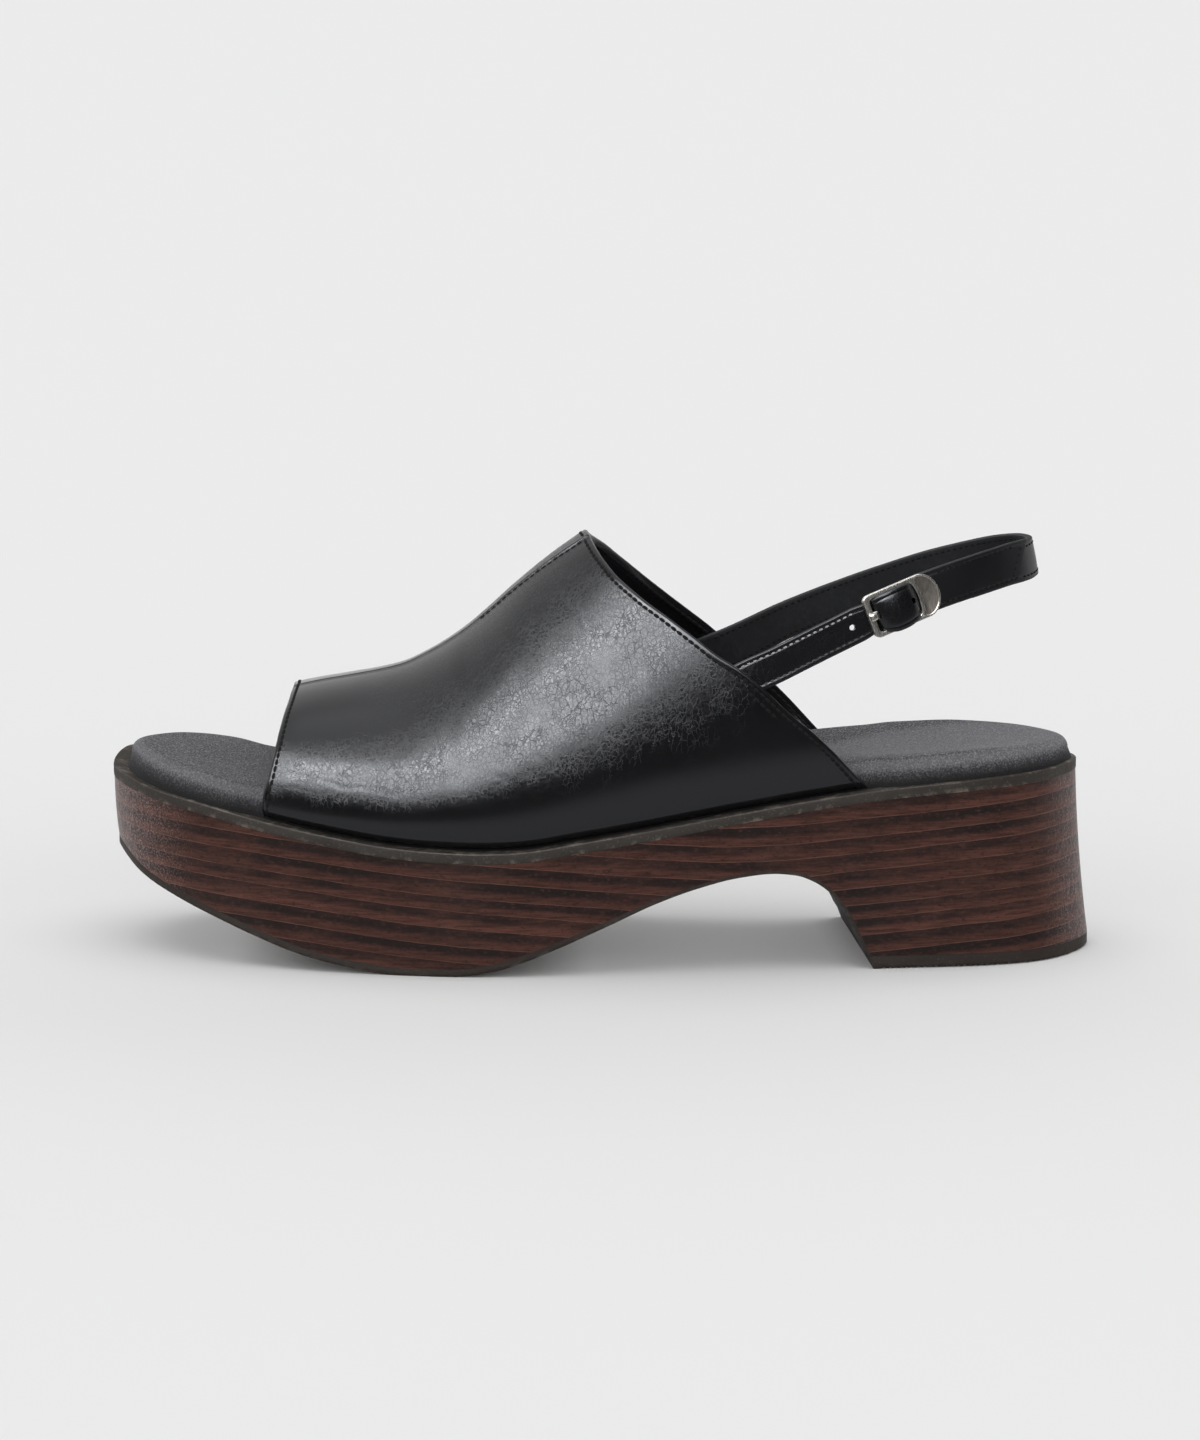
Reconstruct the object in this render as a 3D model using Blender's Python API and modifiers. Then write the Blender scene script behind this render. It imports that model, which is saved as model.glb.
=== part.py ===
# Open-toe platform sandal with a sling back, left shoe.
# Toe at -X, heel at +X, outer (lateral) side with the buckle at -Y, floor at Z = 0.
# Tables are in millimetres; stations run from the toe tip towards the heel.

import bpy
import bmesh
import numpy as np
from math import atan2, cos, degrees, sin, pi, radians
from mathutils import Matrix, Vector

MM = 0.001

LENGTH = 254.0              # toe tip to the flared back of the heel
TOP_LENGTH = 250.5          # toe tip to heel back at the midsole
SEAM_GAP = 0.3              # clear space between pieces that touch
LATERAL = -1
MEDIAL = 1

# Sole outline at the midsole: station, lateral and medial offset from the axis
TOE_TIP_Y = 7.0
HEEL_TIP_Y = -1.7
OUTLINE = [
    (4.0, -5.3, 20.5),
    (12.0, -16.5, 33.2),
    (25.0, -26.5, 40.5),
    (45.0, -35.7, 43.9),
    (72.0, -42.6, 45.75),
    (98.0, -45.75, 44.0),
    (130.0, -43.4, 36.6),
    (165.0, -39.0, 31.4),
    (200.0, -35.2, 30.6),
    (222.0, -31.8, 27.2),
    (238.0, -23.9, 19.2),
    (246.5, -13.5, 9.2),
]
OUTLINE_STEPS = 24          # fine points between two outline rows

# Feather line: station, height of the midsole top above the floor
FEATHER = [
    (0.0, 45.8),
    (14.0, 43.1),
    (25.0, 41.4),
    (35.5, 39.4),
    (46.0, 37.5),
    (61.0, 35.2),
    (72.0, 33.7),
    (83.0, 32.9),
    (96.0, 32.6),
    (106.0, 33.0),
    (122.0, 35.2),
    (142.0, 38.3),
    (162.0, 41.7),
    (183.0, 44.9),
    (203.0, 47.3),
    (229.0, 49.1),
    (TOP_LENGTH, 49.8),
]

# Under profile: station, height of the outsole's lower face
FLAT_START = 76.0
FLAT_END = 90.0
BREAST_TOP = 188.0
BREAST_FOOT = 196.8
UNDER = [
    (1.5, 25.0),
    (8.0, 20.5),
    (19.0, 15.7),
    (30.0, 11.5),
    (40.4, 7.6),
    (51.0, 4.1),
    (61.0, 1.9),
    (71.0, 0.4),
    (FLAT_START, 0.0),
    (FLAT_END, 0.0),
    (95.0, 0.5),
    (102.0, 1.9),
    (112.0, 5.4),
    (127.0, 11.8),
    (142.0, 18.5),
    (152.0, 21.9),
    (162.0, 24.3),
    (172.0, 25.3),
    (177.7, 24.8),
    (182.8, 22.3),
    (BREAST_TOP, 18.0),
]

# The heel breast runs obliquely: station, how far its medial end lies forward
BREAST_SKEW = [
    (0.0, 0.0),
    (110.0, 0.0),
    (185.0, 5.5),
    (205.0, 5.5),
    (236.0, 0.0),
    (TOP_LENGTH, 0.0),
]

OUTSOLE_THICK = 2.0
MIDSOLE_THICK = 2.9
MIDSOLE_EDGE = 0.5          # softened arris of the midsole rim
BLOCK_INSET = 0.5           # block edge behind the midsole rim
TOP_PIECE_THICK = 3.5
HEEL_FLARE = 4.0            # how far the heel back spreads down to the floor
FLARE_FROM = 212.0
FLARE_MID = 0.36            # share of the flare reached half way down
TOE_TUCK = 1.5              # how far the toe draws in down to the outsole
TUCK_TO = 32.0

INSOLE_EDGE = 4.8           # radius of the rolled insole edge
INSOLE_EDGE_STEPS = 4
INSOLE = [                  # station, distance from the midsole rim, thickness
    (0.0, 1.5, 7.0),
    (29.0, 1.8, 7.0),
    (38.0, 5.0, 7.0),
    (60.0, 5.3, 6.6),
    (183.0, 5.3, 6.3),
    (196.5, 5.1, 6.2),
    (205.0, 2.4, 6.2),
    (TOP_LENGTH, 2.2, 6.2),
]

# Stations along the sole
TOE_ROUND = 24.0
HEEL_ROUND = 26.0
ROUND_STEPS = 8
END_FADE = 50.0             # run over which stations follow a drawn-in end

# Upper: station, ridge height, ridge offset, height of the widest line over the
# feather, bulge of the wall past its foot, fullness of the section
UPPER_WALL = 2.0
UPPER_INSET = 2.6
UPPER = [
    (36.0, 63.0, 2.6, 4.0, 1.0, 2.00),
    (47.3, 67.3, 2.3, 4.5, 1.2, 2.00),
    (54.3, 68.9, 2.3, 5.0, 1.3, 1.95),
    (62.1, 70.3, 2.3, 5.8, 1.4, 1.90),
    (70.0, 71.8, 2.3, 6.5, 1.5, 1.85),
    (76.0, 73.4, 2.3, 7.0, 1.6, 1.80),
    (83.0, 76.8, 2.3, 7.8, 1.7, 1.75),
    (88.1, 79.9, 2.3, 8.4, 1.8, 1.75),
    (93.3, 83.7, 2.3, 9.0, 1.9, 1.70),
    (98.5, 88.2, 2.3, 9.8, 2.0, 1.70),
    (104.0, 93.3, 2.2, 10.5, 2.1, 1.70),
    (114.0, 101.6, 2.0, 11.8, 2.3, 1.65),
    (123.4, 108.4, 1.6, 13.0, 2.5, 1.65),
    (145.0, 124.0, 0.0, 16.2, 3.0, 1.70),
    (172.0, 141.0, -2.0, 17.0, 3.0, 1.75),
    (205.0, 158.0, -3.0, 17.0, 2.5, 1.80),
]
SECTION_FOOT_STEPS = 24
SECTION_ARCH_STEPS = 120

# Cut edges of the upper: share of the half section from foot to ridge, station
TOE_EDGE = [
    (0.0, 41.0),
    (0.10, 41.2),
    (0.23, 42.7),
    (0.40, 44.3),
    (0.61, 45.8),
    (0.75, 46.7),
    (1.0, 47.5),
]
REAR_EDGE = {
    LATERAL: [
        (0.0, 195.0),
        (0.083, 187.9),
        (0.151, 181.3),
        (0.211, 174.9),
        (0.28, 168.3),
        (0.34, 162.0),
        (0.389, 155.5),
        (0.45, 149.2),
        (0.514, 142.6),
        (0.606, 136.1),
        (0.732, 129.8),
        (0.875, 125.2),
        (1.0, 123.0),
    ],
    MEDIAL: [
        (0.0, 190.0),
        (0.055, 184.8),
        (0.169, 174.7),
        (0.268, 165.4),
        (0.379, 156.1),
        (0.44, 150.8),
        (0.505, 145.5),
        (0.578, 140.2),
        (0.665, 134.9),
        (0.771, 129.6),
        (0.928, 123.9),
        (1.0, 123.0),
    ],
}
UPPER_ROWS = 30
UPPER_COLUMNS = 17          # per half

# Sling path, centre line of the heel strap: station, offset, height, lean in degrees
HEEL_STRAP_THICK = 1.8
ROOT_CLEAR = 0.6            # strap root behind the inner face of the upper
SLING_ROOT_MEDIAL = [(146.0, 67.9), (152.0, 70.3), (158.0, 72.8)]     # station, height
SLING_ROOT_LATERAL = [(164.0, 75.0), (157.0, 71.4), (150.0, 67.6)]
SLING = [
    (165.0, 27.0, 75.8, 6.0),
    (179.0, 26.2, 82.0, 7.0),
    (193.0, 23.8, 87.8, 8.0),
    (203.0, 21.2, 91.7, 9.0),
    (213.5, 17.8, 95.6, 10.0),
    (224.0, 13.2, 98.9, 11.0),
    (231.0, 8.8, 101.0, 11.0),
    (236.0, 3.8, 102.2, 11.0),
    (238.2, -2.0, 102.4, 11.0),
    (236.0, -7.8, 101.8, 11.0),
    (231.0, -12.8, 101.1, 11.0),
    (224.0, -17.8, 99.6, 10.0),
    (213.5, -23.2, 96.9, 9.0),
    (203.0, -27.1, 93.5, 8.0),
    (196.0, -29.4, 90.7, 7.0),
    (185.0, -32.3, 85.1, 6.0),
    (172.0, -34.6, 78.6, 5.0),
]
SLING_STEPS = 8

HEEL_STRAP_WIDTH = 10.0
BUCKLE_STATION = 200.9      # where the hinge bar sits on the lateral side
BUCKLE_SEAT = 2.1           # hinge bar centre outside the sling path
BUCKLE_STRAP_THICK = 1.2
BUCKLE_STRAP_WIDTH = 10.6
FOLD_WIDTH = 8.4            # buckle strap between the posts
FOLD_RADIUS = 1.8           # centre line of the fold round the hinge bar
FOLD_STEPS = 8
LAP_END = 37.2              # buckle strap end, along the strap from the bar
RETURN_END = 13.0           # folded-back end of the buckle strap
HEEL_STRAP_END = 22.0       # heel strap end behind the buckle strap
BILLET_THICK = 1.3
BILLET_WIDTH = 9.0
BILLET_NECK = 8.4           # billet between the buckle rails
BILLET_HUMP = 3.4           # billet centre line over the fold
BILLET_HOLE = 1.8
BILLET_HOLES = (-12.6, 3.2)
PRONG_SLOT = (-7.2, -3.0, 2.8)          # from, to, width in the billet
FOLD_SLOT = (-4.0, 2.7, 3.0)            # from, to, width in the buckle strap

# Lie of the straps near the buckle: place along the strap from the hinge bar
# (positive to the heel), height over the bar centre
OUTER_LAYER = [(8.0, -0.3), (5.0, -0.3), (3.9, -0.15), (2.9, 0.35), (2.1, 1.0)]
BILLET_TAIL = [(9.6, 1.3), (7.0, 1.3), (5.4, 1.32), (4.3, 1.5), (3.3, 2.05)]
BILLET_LEAD = [(-2.6, 3.2), (-4.2, 2.75), (-6.0, 2.2), (-8.0, 1.85), (-10.0, 1.55), (-15.0, 0.4),
               (-22.0, -1.2), (-28.0, -2.0)]

# Buckle: sizes in its own frame, x along the strap, y across, z outward
FRAME_LEFT = -8.9
FRAME_RIGHT = 11.1
FRAME_HALF_WIDTH = 5.6
FRAME_CORNER = 1.6
FRAME_BOTTOM = 3.0
FRAME_TOP = 4.5
FRAME_ARRIS = 0.3
RAIL = 1.1
WINDOW_LEFT = -7.4
WINDOW_RIGHT = 3.7
WINDOW_CORNER = 1.0
WINDOW_HOLLOW = 0.6         # how far the plate edge curves back at its middle
PLATE_NOSE = 4.6            # length of the rounded end of the plate
BAR_RADIUS = 0.85
POST = (0.9, 0.5)           # half sizes of the posts that carry the bar
POST_FOOT = -0.95
EYE_INNER = 1.2
EYE_OUTER = 2.0
PRONG_WIDTH = 1.9
PRONG = [(-0.7, 1.35, 0.55), (-2.4, 1.25, 0.5), (-3.7, 1.75, 0.5), (-5.2, 3.0, 0.5), (-6.4, 4.6, 0.5),
         (-7.4, 5.25, 0.48), (-8.6, 5.3, 0.42)]    # place, height, half thickness
CIRCLE_STEPS = 16
CUT_REACH = 6.0             # half length of the cutting tools

COLOURS = {
    "platform_block": (0.060, 0.018, 0.012, 1.0),
    "outsole": (0.075, 0.058, 0.048, 1.0),
    "heel_top_piece": (0.075, 0.058, 0.048, 1.0),
    "midsole": (0.115, 0.090, 0.072, 1.0),
    "insole": (0.035, 0.035, 0.040, 1.0),
    "upper": (0.010, 0.010, 0.011, 1.0),
    "heel_strap": (0.010, 0.010, 0.011, 1.0),
    "buckle_strap": (0.010, 0.010, 0.011, 1.0),
    "billet_strap": (0.010, 0.010, 0.011, 1.0),
    "buckle_frame": (0.55, 0.53, 0.50, 1.0),
    "buckle_prong": (0.55, 0.53, 0.50, 1.0),
}
METALS = ("buckle_frame", "buckle_prong")


def smooth_table(rows, column=1):
    """Smooth curve through one column of a table that is sorted by its first column."""
    xs = np.array([row[0] for row in rows], float)
    ys = np.array([row[column] for row in rows], float)
    step = np.diff(xs)
    rise = np.diff(ys) / step
    slope = np.concatenate([rise[:1], np.zeros(len(xs) - 2), rise[-1:]])
    for i in range(1, len(xs) - 1):
        if rise[i - 1] * rise[i] > 0:
            before = 2 * step[i] + step[i - 1]
            after = step[i] + 2 * step[i - 1]
            slope[i] = (before + after) / (before / rise[i - 1] + after / rise[i])

    def value(x):
        x = np.asarray(x, float)
        i = np.clip(np.searchsorted(xs, x) - 1, 0, len(xs) - 2)
        far = (x - xs[i]) / step[i]
        t = np.clip(far, 0, 1)
        inside = ys[i] + (ys[i + 1] - ys[i]) * t * t * (3 - 2 * t)
        inside = inside + step[i] * t * (1 - t) * ((1 - t) * slope[i] - t * slope[i + 1])
        beyond = np.where(far > 1, slope[i + 1], slope[i]) * (far - t) * step[i]
        return inside + beyond

    return value


def spline(points, steps, closed):
    """Round curve through the given points, evened out by the distance between them."""
    points = np.asarray(points, float)
    if not closed:
        first = 2 * points[0] - points[1]
        last = 2 * points[-1] - points[-2]
        points = np.vstack([first, points, last])
    count = len(points)
    spans = range(count) if closed else range(1, count - 2)
    out = []
    for i in spans:
        a, b, c, d = (points[(i + k) % count] for k in (-1, 0, 1, 2))
        ab, bc, cd = (np.sqrt(np.linalg.norm(v[:3])) for v in (b - a, c - b, d - c))
        leave = bc * ((b - a) / ab - (c - a) / (ab + bc) + (c - b) / bc)
        reach = bc * ((c - b) / bc - (d - b) / (bc + cd) + (d - c) / cd)
        for t in np.linspace(0, 1, steps, endpoint=False):
            bend = t * (1 - t) * ((1 - t) * leave - t * reach)
            out.append(b + (c - b) * t * t * (3 - 2 * t) + bend)
    if not closed:
        out.append(points[-2])
    return np.array(out)


def sole_outline():
    lateral = [(s, lat) for s, lat, med in OUTLINE]
    medial = [(s, med) for s, lat, med in reversed(OUTLINE)]
    corners = [(0.0, TOE_TIP_Y)] + lateral + [(TOP_LENGTH, HEEL_TIP_Y)] + medial
    return spline(corners, OUTLINE_STEPS, True)


RIM = sole_outline()
feather = smooth_table(FEATHER)
skew = smooth_table(BREAST_SKEW)
forefoot_under = smooth_table(UNDER)
BREAST_SLOPE = UNDER[-1][1] / (BREAST_TOP - BREAST_FOOT)


def sides(inset):
    """Lateral and medial offsets of the outline drawn in by a distance or a table of distances."""
    along = np.roll(RIM, -1, 0) - np.roll(RIM, 1, 0)
    along /= np.linalg.norm(along, axis=1)[:, None]
    inward = np.stack([-along[:, 1], along[:, 0]], 1)
    depth = inset(RIM[:, 0]) if callable(inset) else np.full(len(RIM), inset)
    edge = RIM + inward * depth[:, None]
    edge = np.roll(edge, -edge[:, 0].argmin(), 0)
    back = edge[:, 0].argmax()
    halves = {LATERAL: edge[:back + 1], MEDIAL: np.vstack([edge[back:], edge[:1]])}
    out = {}
    for side, half in halves.items():
        order = np.argsort(half[:, 0])
        out[side] = half[order]
    return out


def under(s):
    breast = UNDER[-1][1] + BREAST_SLOPE * (s - BREAST_TOP)
    return np.where(s > BREAST_TOP, breast, forefoot_under(s))


def steepness(s):
    reach = 0.4
    rise = (under(s + reach) - under(s - reach)) / (2 * reach)
    return np.sqrt(1 + rise * rise)


def outsole_lower(s):
    return np.where(s > BREAST_TOP, np.maximum(under(s), TOP_PIECE_THICK + SEAM_GAP), under(s))


def outsole_upper(s):
    return under(s) + OUTSOLE_THICK * steepness(s)


def block_lower(s):
    seat = under(s) + (OUTSOLE_THICK + SEAM_GAP) * steepness(s)
    return np.where(s > BREAST_TOP, np.maximum(seat, TOP_PIECE_THICK + SEAM_GAP), seat)


def block_upper(s):
    return feather(s) - MIDSOLE_THICK - SEAM_GAP


def ease(t):
    t = np.clip(t, 0, 1)
    return t * t * (3 - 2 * t)


def drawn(base, tuck, flare):
    """Inset that adds the toe tuck and the heel flare to a base distance."""
    def depth(s):
        toe = tuck * np.clip(1 - s / TUCK_TO, 0, 1) ** 2
        heel = flare * ease((s - FLARE_FROM) / (TOP_LENGTH - FLARE_FROM))
        return base + toe - heel
    return depth


def sole_stations(start, end):
    """Stations between two places, close together at the round ends and round the arch."""
    quarter = np.linspace(0, pi / 2, ROUND_STEPS)
    toe = TOE_ROUND * (1 - np.cos(quarter))
    heel = TOP_LENGTH - HEEL_ROUND * (1 - np.cos(quarter[::-1]))
    runs = [
        toe,
        np.linspace(TOE_ROUND, FLAT_START, 8),
        np.linspace(FLAT_START, FLAT_END, 3),
        np.linspace(FLAT_END, 168.0, 11),
        np.linspace(168.0, BREAST_TOP, 8),
        np.linspace(BREAST_TOP, BREAST_FOOT + 0.7, 4),
        np.linspace(BREAST_FOOT + 0.7, TOP_LENGTH - HEEL_ROUND, 5),
        heel,
    ]
    every = np.unique(np.round(np.concatenate(runs), 3))
    inner = every[(every > start + 1e-6) & (every < end - 1e-6)]
    return np.concatenate([[start], inner, [end]])


def to_world(station, y, z):
    return Vector(((station - LENGTH / 2) * MM, y * MM, z * MM))


def link(name, mesh):
    material = bpy.data.materials.new(name)
    material.use_nodes = True
    shader = material.node_tree.nodes["Principled BSDF"]
    shader.inputs["Base Color"].default_value = COLOURS[name]
    shader.inputs["Metallic"].default_value = 1.0 if name in METALS else 0.0
    shader.inputs["Roughness"].default_value = 0.4
    mesh.materials.append(material)
    obj = bpy.data.objects.new(name, mesh)
    parts.objects.link(obj)
    return obj


def mesh_from(name, points, faces):
    bm = bmesh.new()
    verts = [bm.verts.new(p) for p in points]
    for face in faces:
        corners = list(dict.fromkeys(face))
        if len(corners) > 2:
            bm.faces.new([verts[i] for i in corners])
    bmesh.ops.recalc_face_normals(bm, faces=bm.faces)
    mesh = bpy.data.meshes.new(name)
    bm.to_mesh(mesh)
    bm.free()
    return mesh


def slab(name, levels, start=0.0, end=TOP_LENGTH, closed_toe=True, closed_heel=True):
    """Solid between levels: an inset outline, a height from breast line and station, a cut end."""
    base = sole_stations(start, end)
    near_toe = np.clip(1 - (base - start) / END_FADE, 0, 1) ** 2
    near_heel = np.clip(1 - (end - base) / END_FADE, 0, 1) ** 2
    points = []
    rings = []
    for inset, height, cut in levels:
        half = sides(inset)
        first = half[LATERAL][0, 0] if closed_toe else cut
        last = half[LATERAL][-1, 0] if closed_heel else cut
        s = base + (first - start) * near_toe + (last - end) * near_heel
        ring = {}
        for side in (LATERAL, MEDIAL):
            x = s - skew(s) if side == MEDIAL else s
            z = height(s, x)
            y = np.interp(x, half[side][:, 0], half[side][:, 1])
            ring[side] = []
            for i in range(len(s)):
                tip = (closed_toe and i == 0) or (closed_heel and i == len(s) - 1)
                if tip and side == MEDIAL:
                    ring[side].append(ring[LATERAL][i])
                    continue
                ring[side].append(len(points))
                points.append(to_world(x[i], y[i], z[i]))
        rings.append(ring)
    faces = []
    count = len(base)
    loops = [ring[LATERAL] + ring[MEDIAL][::-1] for ring in rings]
    loops = [list(dict.fromkeys(loop)) for loop in loops]
    for low, high in zip(loops, loops[1:]):
        for i in range(len(low)):
            j = (i + 1) % len(low)
            faces.append((low[i], low[j], high[j], high[i]))
    for ring in (rings[0], rings[-1]):
        for i in range(count - 1):
            near = ring[LATERAL]
            far = ring[MEDIAL]
            faces.append((near[i], near[i + 1], far[i + 1], far[i]))
    return link(name, mesh_from(name, points, faces))


def build_sole():
    slab("platform_block", [
        (drawn(BLOCK_INSET, TOE_TUCK, HEEL_FLARE), lambda s, x: block_lower(s), None),
        (drawn(BLOCK_INSET, TOE_TUCK / 2, HEEL_FLARE * FLARE_MID),
         lambda s, x: (block_lower(s) + block_upper(x)) / 2, None),
        (BLOCK_INSET, lambda s, x: block_upper(x), None),
    ])
    slab("outsole", [
        (drawn(BLOCK_INSET, TOE_TUCK, 0.0), lambda s, x: outsole_lower(s), BREAST_FOOT),
        (drawn(BLOCK_INSET, TOE_TUCK, 0.0), lambda s, x: outsole_upper(s), BREAST_FOOT),
    ], end=BREAST_FOOT, closed_heel=False)
    front = BREAST_FOOT + TOP_PIECE_THICK / BREAST_SLOPE
    slab("heel_top_piece", [
        (drawn(BLOCK_INSET, 0.0, HEEL_FLARE), lambda s, x: 0 * s, BREAST_FOOT),
        (drawn(BLOCK_INSET, 0.0, HEEL_FLARE), lambda s, x: 0 * s + TOP_PIECE_THICK, front),
    ], start=BREAST_FOOT, closed_toe=False)
    slab("midsole", [
        (MIDSOLE_EDGE, lambda s, x: feather(x) - MIDSOLE_THICK, None),
        (0.0, lambda s, x: feather(x) - MIDSOLE_THICK + MIDSOLE_EDGE, None),
        (0.0, lambda s, x: feather(x) - MIDSOLE_EDGE, None),
        (MIDSOLE_EDGE, lambda s, x: feather(x), None),
    ])


def build_insole():
    margin = smooth_table(INSOLE, 1)
    thick = smooth_table(INSOLE, 2)
    levels = [(margin, lambda s, x: feather(x) + SEAM_GAP, None)]
    for step in range(INSOLE_EDGE_STEPS + 1):
        angle = pi / 2 * step / INSOLE_EDGE_STEPS
        draw = INSOLE_EDGE * (1 - cos(angle))
        drop = INSOLE_EDGE * (1 - sin(angle))
        inset = lambda s, draw=draw: margin(s) + draw
        height = lambda s, x, drop=drop: feather(x) + thick(x) - drop
        levels.append((inset, height, None))
    slab("insole", levels)


foot_edge = sides(UPPER_INSET)
ridge_z, ridge_y, widest, bulge, fullness = (smooth_table(UPPER, c) for c in range(1, 6))


def half_section(side, s):
    """One half of the upper's outer section, foot to ridge, with the share of its length."""
    foot_z = feather(s) + SEAM_GAP
    foot_y = np.interp(s, foot_edge[side][:, 0], foot_edge[side][:, 1])
    wide_z = foot_z + widest(s)
    wide_y = foot_y + side * bulge(s)
    t = np.linspace(0, 1, SECTION_FOOT_STEPS)
    foot = np.stack([wide_y - side * bulge(s) * (1 - t) ** 2, foot_z + (wide_z - foot_z) * t], 1)
    angle = np.linspace(0, pi / 2, SECTION_ARCH_STEPS)[1:]
    power = 2 / fullness(s)
    across = np.clip(np.cos(angle), 0, 1) ** power
    upward = np.sin(angle) ** power
    arch_y = ridge_y(s) + (wide_y - ridge_y(s)) * across
    arch_z = wide_z + (ridge_z(s) - wide_z) * upward
    line = np.vstack([foot, np.stack([arch_y, arch_z], 1)])
    length = np.concatenate([[0], np.cumsum(np.linalg.norm(np.diff(line, axis=0), axis=1))])
    return line, length / length[-1]


def wall_point(side, s, share):
    line, length = half_section(side, s)
    return np.interp(share, length, line[:, 0]), np.interp(share, length, line[:, 1])


def wall_offset(side, s, z):
    """Sideways place of the upper's outer face at a station and a height."""
    line, _ = half_section(side, s)
    return np.interp(z, line[:, 1], line[:, 0])


def build_upper():
    toe = smooth_table(TOE_EDGE)
    rear = {side: smooth_table(REAR_EDGE[side]) for side in (LATERAL, MEDIAL)}
    climb = np.linspace(0, 1, UPPER_COLUMNS)
    columns = [(LATERAL, c) for c in climb] + [(MEDIAL, c) for c in climb[-2::-1]]
    points = []
    for row in np.linspace(0, 1, UPPER_ROWS):
        for side, share in columns:
            s = float(toe(share) + row * (rear[side](share) - toe(share)))
            y, z = wall_point(side, s, share)
            points.append(to_world(s, y, z))
    wide = len(columns)
    faces = []
    for i in range(UPPER_ROWS - 1):
        for j in range(wide - 1):
            k = i * wide + j
            faces.append((k, k + wide, k + wide + 1, k + 1))
    obj = link("upper", mesh_from("upper", points, faces))
    if obj.data.polygons[0].normal.y > 0:
        obj.data.flip_normals()
    shell = obj.modifiers.new("wall", "SOLIDIFY")
    shell.thickness = UPPER_WALL * MM
    shell.offset = -1.0
    shell.use_even_offset = True


def root_row(side, s, z, thickness):
    """Place of a strap root that lies against the inner face of the upper, with the wall's lean."""
    reach = BILLET_WIDTH / 2
    low = wall_offset(side, s, z - reach)
    high = wall_offset(side, s, z + reach)
    y = (low + high) / 2 - side * (UPPER_WALL + ROOT_CLEAR + thickness / 2)
    return s, y, z, degrees(atan2(side * (low - high), 2 * reach))


def sling_rows():
    """Sling path from the medial root round the heel to the lateral root, with its lean."""
    medial = [root_row(MEDIAL, s, z, HEEL_STRAP_THICK) for s, z in SLING_ROOT_MEDIAL]
    lateral = [root_row(LATERAL, s, z, BILLET_THICK) for s, z in SLING_ROOT_LATERAL]
    return spline(medial + SLING + lateral, SLING_STEPS, False)


SLING_LINE = sling_rows()
SLING_ARC = np.concatenate([[0], np.cumsum(np.linalg.norm(np.diff(SLING_LINE[:, :3], axis=0), axis=1))])


def sling_origin():
    """Arc place of the hinge bar on the lateral run of the path."""
    heel = SLING_LINE[:, 0].argmax()
    run = SLING_LINE[heel:]
    return float(np.interp(-BUCKLE_STATION, -run[:, 0], SLING_ARC[heel:]))


BAR_ARC = sling_origin()


def sling_frame(arc):
    """Point of the path with its tangent, outward normal and upward direction."""
    at = [np.interp(arc, SLING_ARC, SLING_LINE[:, k]) for k in range(4)]
    reach = 1.5
    low = max(arc - reach, 0.0)
    high = min(arc + reach, SLING_ARC[-1])
    ends = [np.array([np.interp(a, SLING_ARC, SLING_LINE[:, k]) for k in range(3)]) for a in (low, high)]
    tangent = Vector(ends[1] - ends[0]).normalized()
    flat = Vector((-tangent.y, tangent.x, 0)).normalized()
    lean = radians(at[3])
    normal = flat * cos(lean) + Vector((0, 0, 1)) * sin(lean)
    normal = (normal - tangent * normal.dot(tangent)).normalized()
    return Vector(at[:3]), tangent, normal, tangent.cross(normal)


def strap_point(place, height, across):
    """Point near the sling given from the hinge bar: along to the heel, outward, upward."""
    centre, tangent, normal, upward = sling_frame(BAR_ARC - place)
    p = centre + normal * (BUCKLE_SEAT + height) + upward * across
    return to_world(*p)


def strip(name, rows, thickness):
    """Strap from rows of place along, height outward and half width, given a thickness."""
    points = []
    for place, height, half in rows:
        points.append(strap_point(place, height, half))
        points.append(strap_point(place, height, -half))
    faces = [(i, i + 1, i + 3, i + 2) for i in range(0, len(points) - 2, 2)]
    obj = link(name, mesh_from(name, points, faces))
    shell = obj.modifiers.new("thickness", "SOLIDIFY")
    shell.thickness = thickness * MM
    shell.offset = 0.0
    shell.use_even_offset = True
    return obj


def buckle_matrix():
    centre, tangent, normal, upward = sling_frame(BAR_ARC)
    axes = Matrix((-tangent, upward, normal)).transposed().to_4x4()
    return Matrix.Translation(to_world(*(centre + normal * BUCKLE_SEAT))) @ axes


def cutter(name, mesh):
    obj = bpy.data.objects.new(name, mesh)
    cutters.objects.link(obj)
    obj.display_type = "WIRE"
    obj.hide_render = True
    return obj


def cut(obj, tool):
    step = obj.modifiers.new(tool.name, "BOOLEAN")
    step.operation = "DIFFERENCE"
    step.solver = "EXACT"
    step.object = tool


def box_tool(name, size, centre, place):
    bm = bmesh.new()
    bmesh.ops.create_cube(bm, size=1.0)
    bmesh.ops.scale(bm, vec=Vector(size) * MM, verts=bm.verts)
    bmesh.ops.translate(bm, vec=Vector(centre) * MM, verts=bm.verts)
    mesh = bpy.data.meshes.new(name)
    bm.to_mesh(mesh)
    bm.free()
    obj = cutter(name, mesh)
    obj.matrix_world = place
    return obj


def pin_tool(name, radius, place):
    bm = bmesh.new()
    bmesh.ops.create_cone(bm, cap_ends=True, segments=CIRCLE_STEPS, radius1=radius * MM,
                          radius2=radius * MM, depth=2 * CUT_REACH * MM)
    mesh = bpy.data.meshes.new(name)
    bm.to_mesh(mesh)
    bm.free()
    obj = cutter(name, mesh)
    obj.matrix_world = place
    return obj


def hole_place(place):
    centre, tangent, normal, upward = sling_frame(BAR_ARC - place)
    axes = Matrix((-tangent, upward, normal)).transposed().to_4x4()
    return Matrix.Translation(to_world(*(centre + normal * BUCKLE_SEAT))) @ axes


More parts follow.
